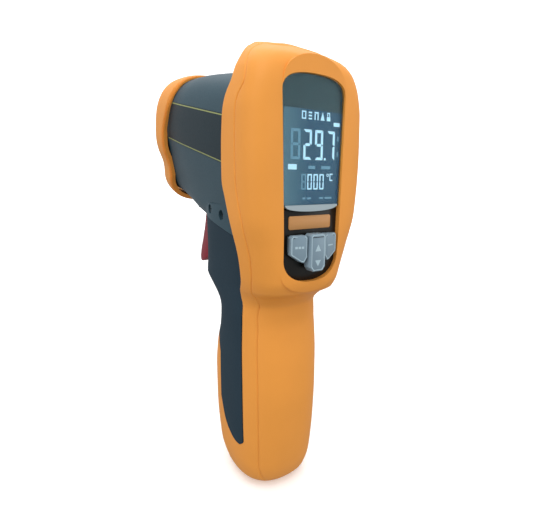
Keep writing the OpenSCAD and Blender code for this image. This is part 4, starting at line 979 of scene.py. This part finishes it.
# ---------------------------------------------------------------- stage, lights, camera (metres)
def revolve(name, profile, paint, shadow, count=72):
    """Surface of revolution round the vertical axis, that sends no reflected light to the part."""
    turns = 2 * math.pi * np.arange(count) / count
    pts = [(r * math.cos(a), r * math.sin(a), z) for r, z in profile for a in turns]
    mesh = bpy.data.meshes.new(name)
    mesh.from_pydata(pts, [], tube_faces(count, len(profile)))
    mesh.shade_smooth()
    mesh.materials.append(MATS[paint])
    o = bpy.data.objects.new(name, mesh)
    bpy.context.scene.collection.objects.link(o)
    o.visible_diffuse = o.visible_glossy = False
    o.visible_shadow = shadow


FLOOR_R, BEND_R, WALL_TOP = 0.9, 0.6, 3.0
bend = [(FLOOR_R + BEND_R * math.sin(a), BEND_R - BEND_R * math.cos(a))
        for a in np.linspace(0, math.pi / 2, 12)]
revolve("floor", [(0.0005, 0), (0.3, 0), (FLOOR_R, 0)], "floor", True)
revolve("backdrop", bend + [(FLOOR_R + BEND_R, WALL_TOP)], "wall", False)

AIM = Vector((0, 0, 0.1))
# Area lights: name, place, size, power
for name, place, size, power in (("key", (-0.3, -0.45, 0.95), 0.8, 4.4),
                                 ("side", (0.75, -0.7, 0.35), 0.6, 1.3),
                                 ("fill", (-0.9, -0.3, 0.3), 0.7, 1.2),
                                 ("top", (0.1, 0.35, 1.0), 0.8, 3.0)):
    light = bpy.data.lights.new(name, "AREA")
    light.shape, light.size, light.energy = "SQUARE", size, power
    o = bpy.data.objects.new(name, light)
    o.location = place
    o.rotation_euler = (AIM - Vector(place)).to_track_quat("-Z", "Y").to_euler()
    bpy.context.scene.collection.objects.link(o)

# World light: white, and stronger from above
world = bpy.data.worlds.new("studio")
world.use_nodes = True
tree = world.node_tree
sky, split, span = (tree.nodes.new("ShaderNode" + k)
                    for k in ("TexCoord", "SeparateXYZ", "MapRange"))
tree.links.new(sky.outputs["Generated"], split.inputs[0])
tree.links.new(split.outputs["Z"], span.inputs["Value"])
for socket, value in (("From Min", -0.7), ("From Max", 0.7), ("To Min", 0.42), ("To Max", 0.85)):
    span.inputs[socket].default_value = value
tree.links.new(span.outputs["Result"], tree.nodes["Background"].inputs["Strength"])
tree.nodes["Background"].inputs["Color"].default_value = (1, 1, 1, 1)
bpy.context.scene.world = world

yaw, down, roll = (math.radians(v) for v in (32.7, 11.0, 0.2))
eye = Vector((-88.29, -141.41, 131.80)) * MM
right = Vector((math.cos(yaw), -math.sin(yaw), 0))
ahead = Vector((math.sin(yaw) * math.cos(down), math.cos(yaw) * math.cos(down), -math.sin(down)))
up = right.cross(ahead)
right, up = (right * math.cos(roll) + up * math.sin(roll),
             up * math.cos(roll) - right * math.sin(roll))
cam = bpy.data.cameras.new("camera")
cam.sensor_width, cam.lens = 36, 26.24
cam.clip_start, cam.clip_end = 0.01, 20
cam_object = bpy.data.objects.new("camera", cam)
cam_object.matrix_world = Matrix(
    [(right[i], up[i], -ahead[i], eye[i]) for i in range(3)] + [(0, 0, 0, 1)])
bpy.context.scene.collection.objects.link(cam_object)
bpy.context.scene.camera = cam_object
bpy.context.scene.view_settings.view_transform = "Standard"
